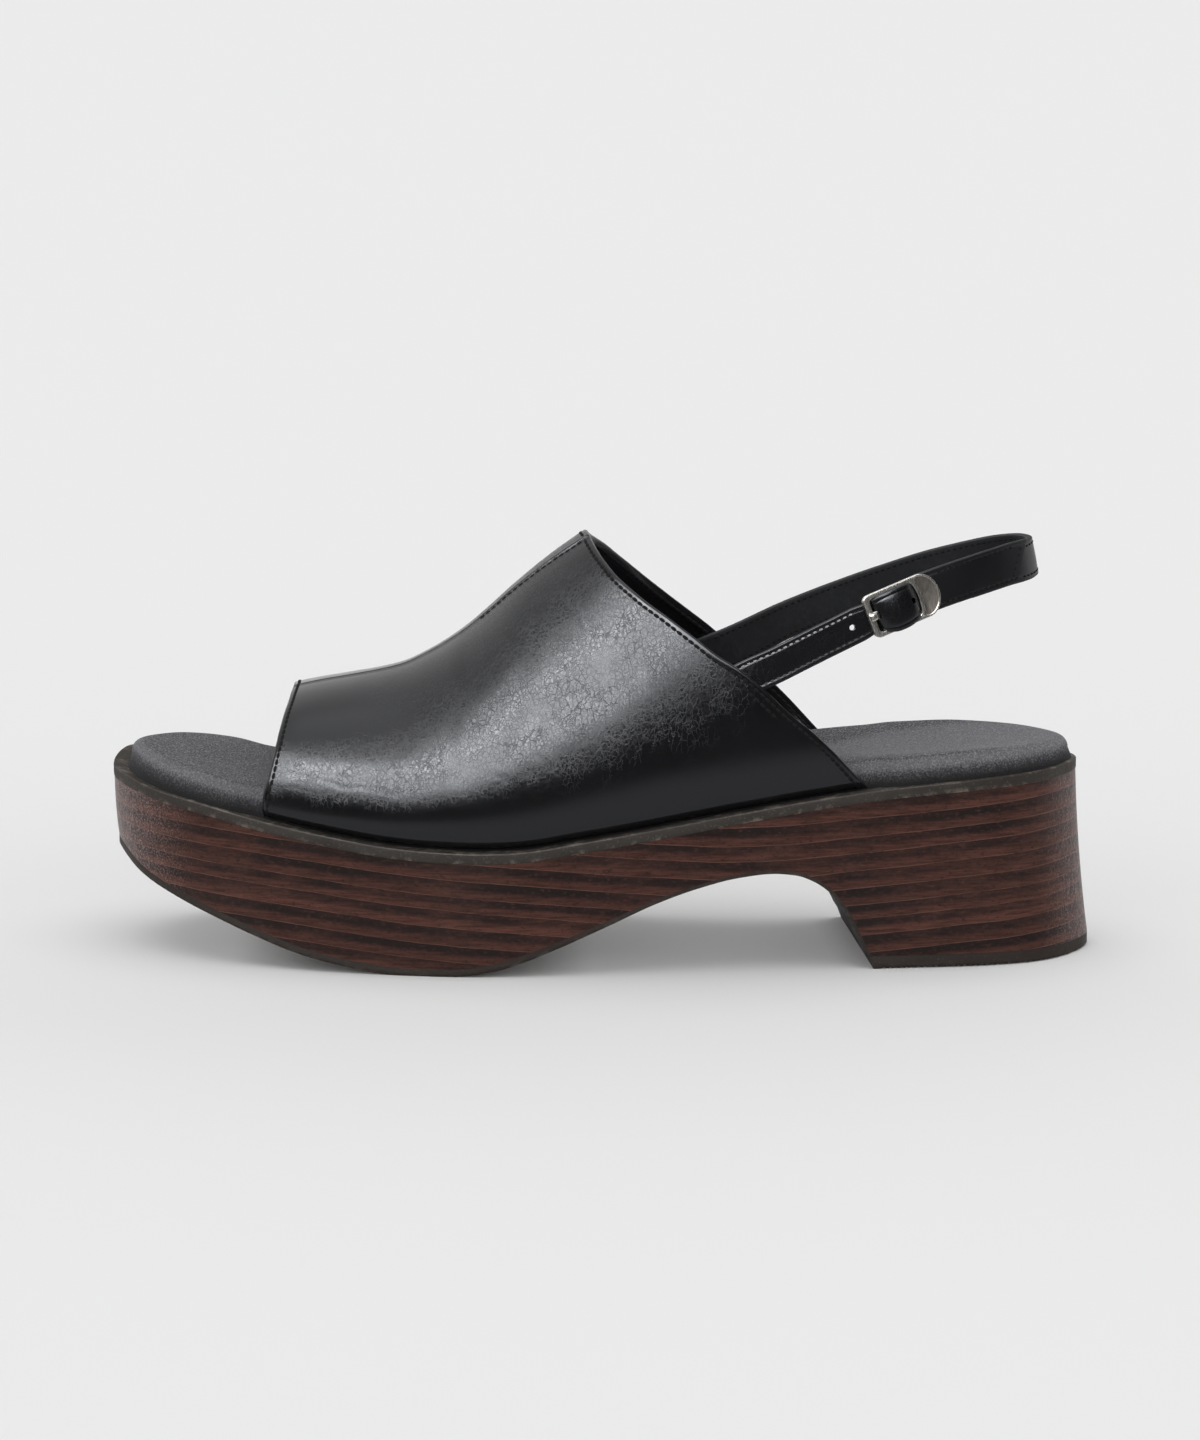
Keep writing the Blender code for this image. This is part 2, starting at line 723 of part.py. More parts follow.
def build_straps():
    half = HEEL_STRAP_WIDTH / 2
    root = BAR_ARC
    places = np.linspace(root, HEEL_STRAP_END, 46)
    strip("heel_strap", [(p, -BUCKLE_SEAT, half) for p in places], HEEL_STRAP_THICK)

    wide = BUCKLE_STRAP_WIDTH / 2
    narrow = FOLD_WIDTH / 2
    outer = OUTER_LAYER[0][1]
    rows = [(p, outer, wide) for p in np.linspace(LAP_END, OUTER_LAYER[0][0] + 2.0, 8)]
    taper = np.linspace(wide, narrow, len(OUTER_LAYER))
    rows += [(p, h, w) for (p, h), w in zip(OUTER_LAYER, taper)]
    for angle in np.linspace(pi / 3, 3 * pi / 2, FOLD_STEPS):
        rows.append((FOLD_RADIUS * cos(angle), FOLD_RADIUS * sin(angle), narrow))
    rows += [(p, -FOLD_RADIUS, narrow) for p in (3.0, 6.0, RETURN_END)]
    strap = strip("buckle_strap", rows, BUCKLE_STRAP_THICK)
    start, end, width = FOLD_SLOT
    seat = buckle_matrix()
    cut(strap, box_tool("fold_slot", (end - start, width, 2 * CUT_REACH), ((start + end) / 2, 0, 0), seat))

    wide = BILLET_WIDTH / 2
    narrow = BILLET_NECK / 2
    rows = [(p, h, narrow) for p, h in BILLET_TAIL]
    for angle in np.linspace(radians(48), radians(112), FOLD_STEPS):
        rows.append((BILLET_HUMP * cos(angle), BILLET_HUMP * sin(angle), narrow))
    spread = smooth_table([(FRAME_LEFT - 2.0, wide), (WINDOW_LEFT, narrow)])
    rows += [(p, h, float(np.clip(spread(p), narrow, wide))) for p, h in BILLET_LEAD]
    end = BAR_ARC - SLING_ARC[-1]
    rows += [(p, -BUCKLE_SEAT, wide) for p in np.linspace(BILLET_LEAD[-1][0], end, 10)[1:]]
    billet = strip("billet_strap", rows, BILLET_THICK)
    start, stop, width = PRONG_SLOT
    cut(billet, box_tool("prong_slot", (stop - start, width, 2 * CUT_REACH), ((start + stop) / 2, 0, 0), seat))
    for number, place in enumerate(BILLET_HOLES):
        cut(billet, pin_tool("punch_%d" % number, BILLET_HOLE / 2, hole_place(place)))


def arc_points(centre, radius, start, end, steps):
    angles = np.linspace(radians(start), radians(end), steps)
    return [(centre[0] + radius[0] * cos(a), centre[1] + radius[1] * sin(a)) for a in angles]


def frame_loops():
    """Outer edge and window of the buckle plate, in the buckle's own frame."""
    w = FRAME_HALF_WIDTH
    r = FRAME_CORNER
    left = FRAME_LEFT + r
    nose = FRAME_RIGHT - PLATE_NOSE
    outer = arc_points((left, w - r), (r, r), 90, 180, 5)
    outer += arc_points((left, r - w), (r, r), 180, 270, 5)
    outer += arc_points((nose, 0), (PLATE_NOSE, w), -90, 90, 15)
    v = w - RAIL
    r = WINDOW_CORNER
    left = WINDOW_LEFT + r
    right = WINDOW_RIGHT - r
    window = arc_points((left, v - r), (r, r), 90, 180, 4)
    window += arc_points((left, r - v), (r, r), 180, 270, 4)
    window += arc_points((right, r - v), (r, r), 270, 350, 4)
    window += [(WINDOW_RIGHT + WINDOW_HOLLOW, 0.0)]
    window += arc_points((right, v - r), (r, r), 10, 90, 4)
    return outer, window


def build_buckle():
    seat = buckle_matrix()
    flat = bpy.data.curves.new("buckle_outline", "CURVE")
    flat.dimensions = "2D"
    flat.fill_mode = "BOTH"
    half = (FRAME_TOP - FRAME_BOTTOM) / 2
    flat.extrude = (half - FRAME_ARRIS) * MM
    flat.bevel_depth = FRAME_ARRIS * MM
    flat.bevel_resolution = 0
    flat.offset = -FRAME_ARRIS * MM
    for loop in frame_loops():
        line = flat.splines.new("POLY")
        line.points.add(len(loop) - 1)
        line.use_cyclic_u = True
        for point, (x, y) in zip(line.points, loop):
            point.co = (x * MM, y * MM, 0, 1)
    shape = bpy.data.objects.new("buckle_outline", flat)
    cutters.objects.link(shape)
    bpy.context.view_layer.update()
    plate = bpy.data.meshes.new_from_object(shape.evaluated_get(bpy.context.evaluated_depsgraph_get()))
    bpy.data.objects.remove(shape)
    bm = bmesh.new()
    bm.from_mesh(plate)
    bmesh.ops.remove_doubles(bm, verts=bm.verts, dist=0.00001)
    bmesh.ops.translate(bm, vec=(0, 0, (FRAME_TOP + FRAME_BOTTOM) / 2 * MM), verts=bm.verts)
    bmesh.ops.recalc_face_normals(bm, faces=bm.faces)
    bm.to_mesh(plate)
    bm.free()
    plate.name = "buckle_frame"
    frame = link("buckle_frame", plate)
    frame.matrix_world = seat

    reach = FRAME_HALF_WIDTH - RAIL / 2
    top = FRAME_BOTTOM + half
    for side in (LATERAL, MEDIAL):
        post = box_tool("post_%d" % (side + 2), (2 * POST[0], 2 * POST[1], top - POST_FOOT),
                        (0, side * reach, (top + POST_FOOT) / 2), seat)
        join(frame, post)
    bar = pin_tool("hinge_bar", BAR_RADIUS, seat @ Matrix.Rotation(pi / 2, 4, "X"))
    bar.data.transform(Matrix.Diagonal((1, 1, reach / CUT_REACH, 1)))
    join(frame, bar)

    bm = bmesh.new()
    ring = []
    for radius in (EYE_INNER, EYE_OUTER):
        for y in (-PRONG_WIDTH / 2, PRONG_WIDTH / 2):
            loop = []
            for i in range(CIRCLE_STEPS):
                a = 2 * pi * i / CIRCLE_STEPS
                loop.append(bm.verts.new(Vector((radius * cos(a), y, radius * sin(a))) * MM))
            ring.append(loop)
    for a, b in ((0, 1), (1, 3), (3, 2), (2, 0)):
        for i in range(CIRCLE_STEPS):
            j = (i + 1) % CIRCLE_STEPS
            bm.faces.new((ring[a][i], ring[a][j], ring[b][j], ring[b][i]))
    bmesh.ops.recalc_face_normals(bm, faces=bm.faces)
    mesh = bpy.data.meshes.new("buckle_prong")
    bm.to_mesh(mesh)
    bm.free()
    prong = link("buckle_prong", mesh)
    prong.matrix_world = seat

    bm = bmesh.new()
    loops = []
    for x, z, thick in PRONG:
        corners = ((-1, -1), (1, -1), (1, 1), (-1, 1))
        loops.append([bm.verts.new(Vector((x, PRONG_WIDTH / 2 * 0.92 * a, z + thick * b)) * MM)
                      for a, b in corners])
    for low, high in zip(loops, loops[1:]):
        for i in range(4):
            j = (i + 1) % 4
            bm.faces.new((low[i], low[j], high[j], high[i]))
    bm.faces.new(loops[0])
    bm.faces.new(loops[-1])
    bmesh.ops.recalc_face_normals(bm, faces=bm.faces)
    mesh = bpy.data.meshes.new("tongue")
    bm.to_mesh(mesh)
    bm.free()
    tongue = cutter("tongue", mesh)
    tongue.matrix_world = seat
    join(prong, tongue)
    bore = pin_tool("prong_bore", EYE_INNER, seat @ Matrix.Rotation(pi / 2, 4, "X"))
    cut(prong, bore)


def join(obj, other):
    step = obj.modifiers.new(other.name, "BOOLEAN")
    step.operation = "UNION"
    step.solver = "EXACT"
    step.object = other


for old in list(bpy.data.objects):
    bpy.data.objects.remove(old)

parts = bpy.data.collections.new("platform_sandal")
cutters = bpy.data.collections.new("cutters")
bpy.context.scene.collection.children.link(parts)
bpy.context.scene.collection.children.link(cutters)

build_sole()
build_insole()
build_upper()
build_straps()
build_buckle()
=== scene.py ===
# Left platform sandal with a sling back: the looks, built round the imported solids.
# Tables are millimetres in the shoe's own frame: station from the toe tip, offset, height.

import bpy
import numpy as np
from math import atan2, cos, degrees, pi, radians, sin
from mathutils import Matrix, Vector, kdtree, noise


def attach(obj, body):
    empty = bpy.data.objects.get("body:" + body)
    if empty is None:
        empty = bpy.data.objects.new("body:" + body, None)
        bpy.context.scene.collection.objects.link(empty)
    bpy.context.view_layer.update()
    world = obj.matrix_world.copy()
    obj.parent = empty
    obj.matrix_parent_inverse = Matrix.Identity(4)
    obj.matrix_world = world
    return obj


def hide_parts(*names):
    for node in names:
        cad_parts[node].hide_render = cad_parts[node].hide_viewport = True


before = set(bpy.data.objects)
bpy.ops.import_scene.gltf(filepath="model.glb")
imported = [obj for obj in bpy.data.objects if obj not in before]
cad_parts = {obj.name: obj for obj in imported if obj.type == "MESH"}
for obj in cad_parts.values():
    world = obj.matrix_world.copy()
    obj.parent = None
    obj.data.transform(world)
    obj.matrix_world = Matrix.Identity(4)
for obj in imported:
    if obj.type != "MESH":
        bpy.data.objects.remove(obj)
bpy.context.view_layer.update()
print("frame loaded:", ", ".join(sorted(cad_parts)))

mm = 0.001
lateral, medial = -1, 1          # outer side with the buckle, inner side


# small helpers for selecting, placing and finishing meshes

def clearSelection():
    if bpy.context.object and bpy.context.object.mode != "OBJECT":
        bpy.ops.object.mode_set(mode="OBJECT")
    bpy.ops.object.select_all(action="DESELECT")


def pick(obj):
    clearSelection()
    obj.select_set(True)
    bpy.context.view_layer.objects.active = obj


def readPoints(obj, what="co"):
    flat = np.empty(3 * len(obj.data.vertices), np.float32)
    obj.data.vertices.foreach_get(what, flat)
    return flat.reshape(-1, 3).astype(float)


def writePoints(obj, points):
    obj.data.vertices.foreach_set("co", np.asarray(points, np.float32).ravel())
    obj.data.update()


def paint(obj, name, values):    # a value on every point, for the material to read
    layer = obj.data.attributes.get(name) or obj.data.attributes.new(name, "FLOAT", "POINT")
    layer.data.foreach_set("value", np.asarray(values, np.float32))


def toWorld(points):             # station, offset, height in mm to metres
    return (np.asarray(points, float) - (sole["length"] / 2, 0, 0)) * mm


def toShoe(points):
    return np.asarray(points, float) / mm + (sole["length"] / 2, 0, 0)


def applyModifier(obj, kind, **values):
    pick(obj)
    step = obj.modifiers.new(kind.lower(), kind)
    for key, value in values.items():
        setattr(step, key, value)
    bpy.ops.object.modifier_apply(modifier=step.name)


def addGrid(name, columns, rows):    # flat grid, with the column and row of each point
    clearSelection()
    bpy.ops.mesh.primitive_grid_add(x_subdivisions=columns, y_subdivisions=rows, size=1)
    obj = bpy.context.object
    obj.name = obj.data.name = name
    flat = readPoints(obj)
    i = np.rint((flat[:, 0] + 0.5) * columns).astype(int)
    j = np.rint((flat[:, 1] + 0.5) * rows).astype(int)
    return obj, i, j


def addShape(kind, scale=(1, 1, 1), **values):   # primitive with place, turn and scale in the mesh
    clearSelection()
    getattr(bpy.ops.mesh, "primitive_%s_add" % kind)(**values)
    obj = bpy.context.object
    obj.scale = scale
    bpy.ops.object.transform_apply(location=True, rotation=True, scale=True)
    return obj


def editMesh(obj, *steps):       # mesh operators on the whole mesh, each with its values
    pick(obj)
    bpy.ops.object.mode_set(mode="EDIT")
    for step, values in steps:
        bpy.ops.mesh.select_all(action="SELECT")
        step(**values)
    bpy.ops.object.mode_set(mode="OBJECT")


facesOutward = (bpy.ops.mesh.normals_make_consistent, {"inside": False})


def joinTo(obj, others):
    pick(obj)
    for other in others:
        other.select_set(True)
    bpy.ops.object.join()


def loftTube(name, rings, edge=None):        # closed tube through rings of points, ends filled
    count, around = rings.shape[:2]
    obj, i, j = addGrid(name, count - 1, around)
    writePoints(obj, rings[i, j % around])
    if edge is not None:
        paint(obj, "edge", edge[i, j % around])
    editMesh(obj, (bpy.ops.mesh.remove_doubles, {"threshold": 0.000001}),
             (bpy.ops.mesh.fill_holes, {"sides": 0}), facesOutward)
    return obj


def cutAway(obj, tool):
    applyModifier(obj, "BOOLEAN", operation="DIFFERENCE", solver="EXACT", object=tool)
    bpy.data.objects.remove(tool)


def finishPiece(obj, slot, *nodes, angle=35):
    pick(obj)
    bpy.ops.object.shade_smooth_by_angle(angle=radians(angle))
    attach(obj, "root")
    if nodes:
        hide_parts(*nodes)
    print("piece", obj.name, len(obj.data.polygons), "faces")
    return obj


def dress(obj, *materials):
    obj.data.materials.clear()
    for material in materials:
        obj.data.materials.append(material)


def ease(t):
    t = np.clip(t, 0, 1)
    return t * t * (3 - 2 * t)


def bell(d, width):
    return np.exp(-(d / width) ** 2)


def smoothTable(rows, column=1):     # smooth curve through one column of a table
    xs = np.array([row[0] for row in rows], float)
    ys = np.array([row[column] for row in rows], float)
    step = np.diff(xs)
    rise = np.diff(ys) / step
    slope = np.concatenate([rise[:1], np.zeros(len(xs) - 2), rise[-1:]])
    for i in range(1, len(xs) - 1):
        if rise[i - 1] * rise[i] > 0:
            before = 2 * step[i] + step[i - 1]
            after = step[i] + 2 * step[i - 1]
            slope[i] = (before + after) / (before / rise[i - 1] + after / rise[i])

    def value(x):
        x = np.asarray(x, float)
        i = np.clip(np.searchsorted(xs, x) - 1, 0, len(xs) - 2)
        far = (x - xs[i]) / step[i]
        t = np.clip(far, 0, 1)
        inside = ys[i] + (ys[i + 1] - ys[i]) * t * t * (3 - 2 * t)
        inside = inside + step[i] * t * (1 - t) * ((1 - t) * slope[i] - t * slope[i + 1])
        return inside + np.where(far > 1, slope[i + 1], slope[i]) * (far - t) * step[i]

    return value


def roundCurve(points, steps, closed):
    points = np.asarray(points, float)
    if not closed:
        points = np.vstack([2 * points[0] - points[1], points, 2 * points[-1] - points[-2]])
    count = len(points)
    out = []
    for i in range(count) if closed else range(1, count - 2):
        a, b, c, d = (points[(i + k) % count] for k in (-1, 0, 1, 2))
        ab, bc, cd = (np.sqrt(np.linalg.norm(v[:3])) for v in (b - a, c - b, d - c))
        leave = bc * ((b - a) / ab - (c - a) / (ab + bc) + (c - b) / bc)
        reach = bc * ((c - b) / bc - (d - b) / (bc + cd) + (d - c) / cd)
        for t in np.linspace(0, 1, steps, endpoint=False):
            bend = t * (1 - t) * ((1 - t) * leave - t * reach)
            out.append(b + (c - b) * t * t * (3 - 2 * t) + bend)
    if not closed:
        out.append(points[-2])
    return np.array(out)


def arcOf(points):
    return np.concatenate([[0], np.cumsum(np.linalg.norm(np.diff(points, axis=0), axis=1))])


def evenly(points, step):        # the same line with points at an even distance
    arc = arcOf(points[:, :3])
    places = np.linspace(0, arc[-1], max(2, int(round(arc[-1] / step)) + 1))
    return np.stack([np.interp(places, arc, points[:, k]) for k in range(points.shape[1])], 1)


# the sole: outline, feather line and under profile

sole = {
    "length": 254.0, "topLength": 250.5, "toeTip": 7.0, "heelTip": -1.7,
    "outline": [       # station, outer and inner offset
        (4.0, -5.3, 20.5), (12.0, -16.5, 33.2), (25.0, -26.5, 40.5), (45.0, -35.7, 43.9),
        (72.0, -42.6, 45.75), (98.0, -45.75, 44.0), (130.0, -43.4, 36.6), (165.0, -39.0, 31.4),
        (200.0, -35.2, 30.6), (222.0, -31.8, 27.2), (238.0, -23.9, 19.2), (246.5, -13.5, 9.2)],
    "feather": [       # station, height of the midsole top
        (0.0, 45.8), (14.0, 43.1), (25.0, 41.4), (35.5, 39.3), (46.0, 37.3), (61.0, 34.8),
        (72.0, 33.2), (83.0, 32.3), (96.0, 31.9), (106.0, 32.2), (122.0, 34.4), (142.0, 37.6),
        (162.0, 41.0), (183.0, 44.4), (203.0, 46.9), (229.0, 48.7), (250.5, 49.4)],
    "under": [         # station, height of the outsole's lower face
        (1.5, 25.0), (8.0, 20.5), (19.0, 15.7), (30.0, 11.5), (40.4, 7.6), (51.0, 4.1),
        (61.0, 1.9), (71.0, 0.4), (76.0, 0.0), (90.0, 0.0), (95.0, 0.5), (102.0, 1.9),
        (112.0, 5.4), (127.0, 11.8), (142.0, 18.5), (152.0, 21.9), (162.0, 24.3), (171.0, 25.2),
        (177.0, 24.6), (181.4, 22.9), (184.4, 20.9), (186.5, 18.9), (188.4, 16.6), (190.9, 12.4)],
    "breastTop": 190.9, "breastFoot": 196.8,
    "toeRise": 3.6,    # the rim climbs round the inner side of the toe
    "riseEnd": 30.0, "riseRun": 27.0, "riseOffset": 2.0, "riseAcross": 17.0,
    "skew": [          # station, how far the heel breast lies forward on the inner side
        (0.0, 0.0), (110.0, 0.0), (185.0, 5.5), (205.0, 5.5), (236.0, 0.0), (250.5, 0.0)],
    "toeCorner": 8.0, "heelCorner": 243.0, "toeFade": 38.0, "heelFade": 36.0,
    "tuckReach": 32.0, "flareFrom": 212.0, "columns": 25, "fineColumns": 41,
    "runs": [(8, 76, 37), (76, 165, 45), (165, 200, 41), (200, 243, 27)],      # from, to, count
}

outer = [(s, low) for s, low, high in sole["outline"]]
inner = [(s, high) for s, low, high in reversed(sole["outline"])]
rim = roundCurve([(0.0, sole["toeTip"])] + outer + [(sole["topLength"], sole["heelTip"])] + inner, 24, True)
rim = np.roll(rim, -rim[:, 0].argmin(), 0)
rimAlong = np.roll(rim, -1, 0) - np.roll(rim, 1, 0)
rimAlong /= np.linalg.norm(rimAlong, axis=1)[:, None]
rimTable = np.column_stack([rim, -rimAlong[:, 1], rimAlong[:, 0]])
rimTable = np.vstack([rimTable, rimTable[:1]])
rimArc = arcOf(rimTable[:, :2])
heelIndex = rim[:, 0].argmax()

feather = smoothTable(sole["feather"])
skew = smoothTable(sole["skew"])
underFore = smoothTable(sole["under"])
breastSlope = sole["under"][-1][1] / (sole["breastTop"] - sole["breastFoot"])


def under(s):
    breast = sole["under"][-1][1] + breastSlope * (s - sole["breastTop"])
    return np.where(s > sole["breastTop"], breast, underFore(s))


def rimTop(x, y):                # top of the midsole
    along = ease((sole["riseEnd"] - x) / sole["riseRun"])
    return feather(x) + sole["toeRise"] * along * ease((y - sole["riseOffset"]) / sole["riseAcross"])


def steepness(s, near=0.4):
    rise = (under(s + near) - under(s - near)) / (2 * near)
    return np.sqrt(1 + rise * rise)


def onRim(arc, inset):           # points of the outline drawn in by a distance
    arc = np.mod(arc, rimArc[-1])
    x, y, nx, ny = (np.interp(arc, rimArc, rimTable[:, k]) for k in range(4))
    depth = inset(x) if callable(inset) else inset
    return np.stack([x + nx * depth, y + ny * depth], 1)


def outerArc(s):
    return np.interp(s, rim[:heelIndex + 1, 0], rimArc[:heelIndex + 1])


def innerArc(s):
    return np.interp(s, rimTable[heelIndex:, 0][::-1], rimArc[heelIndex:][::-1])


skewed = np.linspace(-5, 260, 2000)      # stations a little past both ends


def breastLine(x, across):       # the outer side's station that belongs to a point of the plan
    onInner = np.interp(x, skewed - skew(skewed), skewed)
    return x + (onInner - x) * across


def planGrid(stations, across, inset, roundToe, roundHeel):
    near = onRim(outerArc(stations), inset)
    far = onRim(innerArc(stations - skew(stations)), inset)
    plan = near[:, None] + (far - near)[:, None] * across[None, :, None]
    ends = ((roundToe, 0, sole["toeFade"], rimArc[-1]), (roundHeel, -1, sole["heelFade"], 0.0))
    for wanted, last, reach, turn in ends:
        if wanted:               # the straight end row takes the curve of the outline
            start, end = outerArc(stations[last]), innerArc(stations[last]) - turn
            curve = onRim(start + (end - start) * across, inset)
            straight = curve[:1] + (curve[-1:] - curve[:1]) * across[:, None]
            fade = np.clip(1 - np.abs(stations - stations[last]) / reach, 0, 1) ** 2
            plan += fade[:, None, None] * (curve - straight)[None]
    return plan


def soleStations(start, end, least=0.2):
    every = np.unique(np.round(np.concatenate([np.linspace(*run) for run in sole["runs"]]), 3))
    return np.concatenate([[start], every[(every > start + least) & (every < end - least)], [end]])


def soleSolid(name, levels, stations, across, roundToe=True, roundHeel=True):
    # a grid in plan, extruded level by level; each level is an inset and a height
    obj, i, j = addGrid(name, len(stations) - 1, len(across) - 1)
    paint(obj, "column", i)
    paint(obj, "row", j)
    for number, (inset, height) in enumerate(levels):
        if number:
            bpy.ops.object.mode_set(mode="EDIT")
            bpy.ops.mesh.extrude_region_move(TRANSFORM_OT_translate={"value": (0, 0, mm)})
            bpy.ops.object.mode_set(mode="OBJECT")
        count = len(obj.data.vertices)
        moved = np.empty(count, bool)
        obj.data.vertices.foreach_get("select", moved)
        index = []
        for label in ("column", "row"):
            values = np.empty(count, np.float32)
            obj.data.attributes[label].data.foreach_get("value", values)
            index.append(np.rint(values).astype(int))
        plan = planGrid(stations, across, inset, roundToe, roundHeel)[index[0], index[1]]
        z = height(plan[:, 0], plan[:, 1], across[index[1]])
        points = readPoints(obj)
        points[moved] = toWorld(np.column_stack([plan, z]))[moved]
        writePoints(obj, points)
    for label in ("column", "row"):
        obj.data.attributes.remove(obj.data.attributes[label])
    editMesh(obj, facesOutward)
    return obj


def drawnIn(base, tuck, flare):      # inset with the toe drawn in and the heel spread out
    def depth(s):
        toe = tuck * np.clip(1 - s / sole["tuckReach"], 0, 1) ** 2
        heel = flare * ease((s - sole["flareFrom"]) / (sole["topLength"] - sole["flareFrom"]))
        return base + toe - heel
    return depth


acrossSole = np.linspace(0, 1, sole["columns"])
acrossFine = np.linspace(0, 1, sole["fineColumns"])
fullSole = soleStations(sole["toeCorner"], sole["heelCorner"])


# platform block of stacked layers

block = {
    "inset": 0.5, "toeTuck": 0.7, "heelFlare": 4.0, "levels": 26,
    "insetEase": 0.7, "flareEase": 0.56, "lapBelow": 0.1, "lapAbove": 0.15,
    "toePaintedSheen": (26.0, 22.0), "heelPaintedSheen": (238.0, 16.0), "heelShare": 0.7,    # painted sheen on the pale ends: station, run
    "flow": [          # station, how far the layers lie under their height at the toe
        (0.0, 0.4), (25.0, -1.2), (51.0, -3.4), (76.0, -6.1), (102.0, -8.2), (127.0, -10.5), (142.0, -11.8),
        (162.0, -12.9), (173.0, -12.7), (193.0, -11.1), (208.0, -9.9), (219.0, -8.9), (229.0, -8.3),
        (246.0, -7.2), (254.0, -6.8)],
    "joints": [2.6, 6.8, 11.1, 15.2, 19.8, 24.2, 27.8, 32.2, 36.7, 41.3, 45.3, 50.2, 54.4],
}
outsole = {
    "layers": [(0.0, 2.0), (100.0, 2.0), (145.0, 1.1), (200.0, 0.9)],      # station, thickness
    "midsole": 2.9, "topPiece": 3.5, "insets": (0.5, 0.8), "least": 0.2, "shares": (0.14, 0.5, 0.9),
    "paintedBreastShade": (172.0, 10.0, -34.0, 8.0),                                    # station, run, offset, run of the painted shade on the heel breast
    "arris": [(0.55, 0.0), (0.22, 0.05), (0.05, 0.22), (0.0, 0.5)],        # inset, distance from the face
}
topPiece = {
    "toothPitch": 1.5, "toothDepth": 0.7, "toothSlant": 0.12, "plain": 1.0, "plainRun": 3.0, "perTooth": 4,
    "hollowFrom": 0.45, "levels": (0.4, 0.7, 0.95), "leanFrom": 188.0, "leanRun": 30.0,
}
soleThick = smoothTable(outsole["layers"])


def blockLower(x, y, v):
    s = breastLine(x, v)
    seat = under(s) + (soleThick(s) - block["lapBelow"]) * steepness(s)
    return np.where(s > sole["breastTop"], np.maximum(seat, outsole["topPiece"] - block["lapBelow"]), seat)


def blockUpper(x, y):
    return rimTop(x, y) - outsole["midsole"] + block["lapAbove"]


def makeBlock():
    levels = []
    for t in np.linspace(0, 1, block["levels"]):
        inset = drawnIn(block["inset"] * (1 - block["insetEase"] * t), block["toeTuck"] * (1 - t) ** 3,
                        block["heelFlare"] * (1 - t) * (1 - block["flareEase"] * t))
        levels.append((inset, lambda x, y, v, t=t: blockLower(x, y, v) * (1 - t) + blockUpper(x, y) * t))
    obj = soleSolid("platformBlock", levels, fullSole, acrossSole)
    shoe = toShoe(readPoints(obj))
    sunk = shoe[:, 2] - smoothTable(block["flow"])(shoe[:, 0])
    paint(obj, "layer", np.interp(sunk, block["joints"], np.arange(len(block["joints"]))))
    (toeAt, toeRun), (heelAt, heelRun) = block["toePaintedSheen"], block["heelPaintedSheen"]
    heelPale = block["heelShare"] * ease((shoe[:, 0] - heelAt) / heelRun)
    paint(obj, "ends", np.maximum(ease((toeAt - shoe[:, 0]) / toeRun), heelPale))
    return finishPiece(obj, "stacked_block", "platform_block")


# midsole rim, outsole and heel top piece

def makeMidsole():
    thick = outsole["midsole"]
    levels = [(inset, lambda x, y, v, up=up: rimTop(x, y) - thick + up) for inset, up in outsole["arris"]]
    levels += [(0.0, lambda x, y, v: rimTop(x, y) - thick / 2)]
    levels += [(inset, lambda x, y, v, up=up: rimTop(x, y) - up) for inset, up in reversed(outsole["arris"])]
    obj = soleSolid("midsole", levels, fullSole, acrossSole)
    shoe = toShoe(readPoints(obj))
    below = rimTop(shoe[:, 0], shoe[:, 1]) - shoe[:, 2]
    # rubbed top and bottom edges of the rim; the material paints them as broken pale lines, partly wear and
    # partly a painted highlight
    paint(obj, "edge", np.maximum(bell(below - thick + 0.3, 0.32), 0.8 * bell(below, 0.3)))
    return finishPiece(obj, "midsole_rubber", "midsole", angle=60)


def makeOutsole():
    stations = soleStations(sole["toeCorner"], sole["breastFoot"])
    inset, soft = (drawnIn(edge, block["toeTuck"], 0.0) for edge in outsole["insets"])

    def lower(x, y, v):
        s = breastLine(x, v)
        return np.where(s > sole["breastTop"], np.maximum(under(s), outsole["topPiece"]), under(s))

    def higher(x, y, v):
        s = breastLine(x, v)
        return np.maximum(under(s) + soleThick(s) * steepness(s), lower(x, y, v) + outsole["least"])

    def between(t):
        return lambda x, y, v: lower(x, y, v) * (1 - t) + higher(x, y, v) * t

    levels = [(soft, lower)] + [(inset, between(t)) for t in outsole["shares"]] + [(inset, higher)]
    obj = soleSolid("outsole", levels, stations, acrossSole, roundHeel=False)
    shoe = toShoe(readPoints(obj))
    station, run, offset, wide = outsole["paintedBreastShade"]
    paint(obj, "edge", bell(shoe[:, 2] - under(shoe[:, 0]), 0.5))
    # painted shade from the heel breast back, fading out towards the outer edge
    paint(obj, "paintedBreastShade", ease((shoe[:, 0] - station) / run) * ease((shoe[:, 1] - offset) / wide))
    return finishPiece(obj, "sole_rubber", "outsole", angle=60)


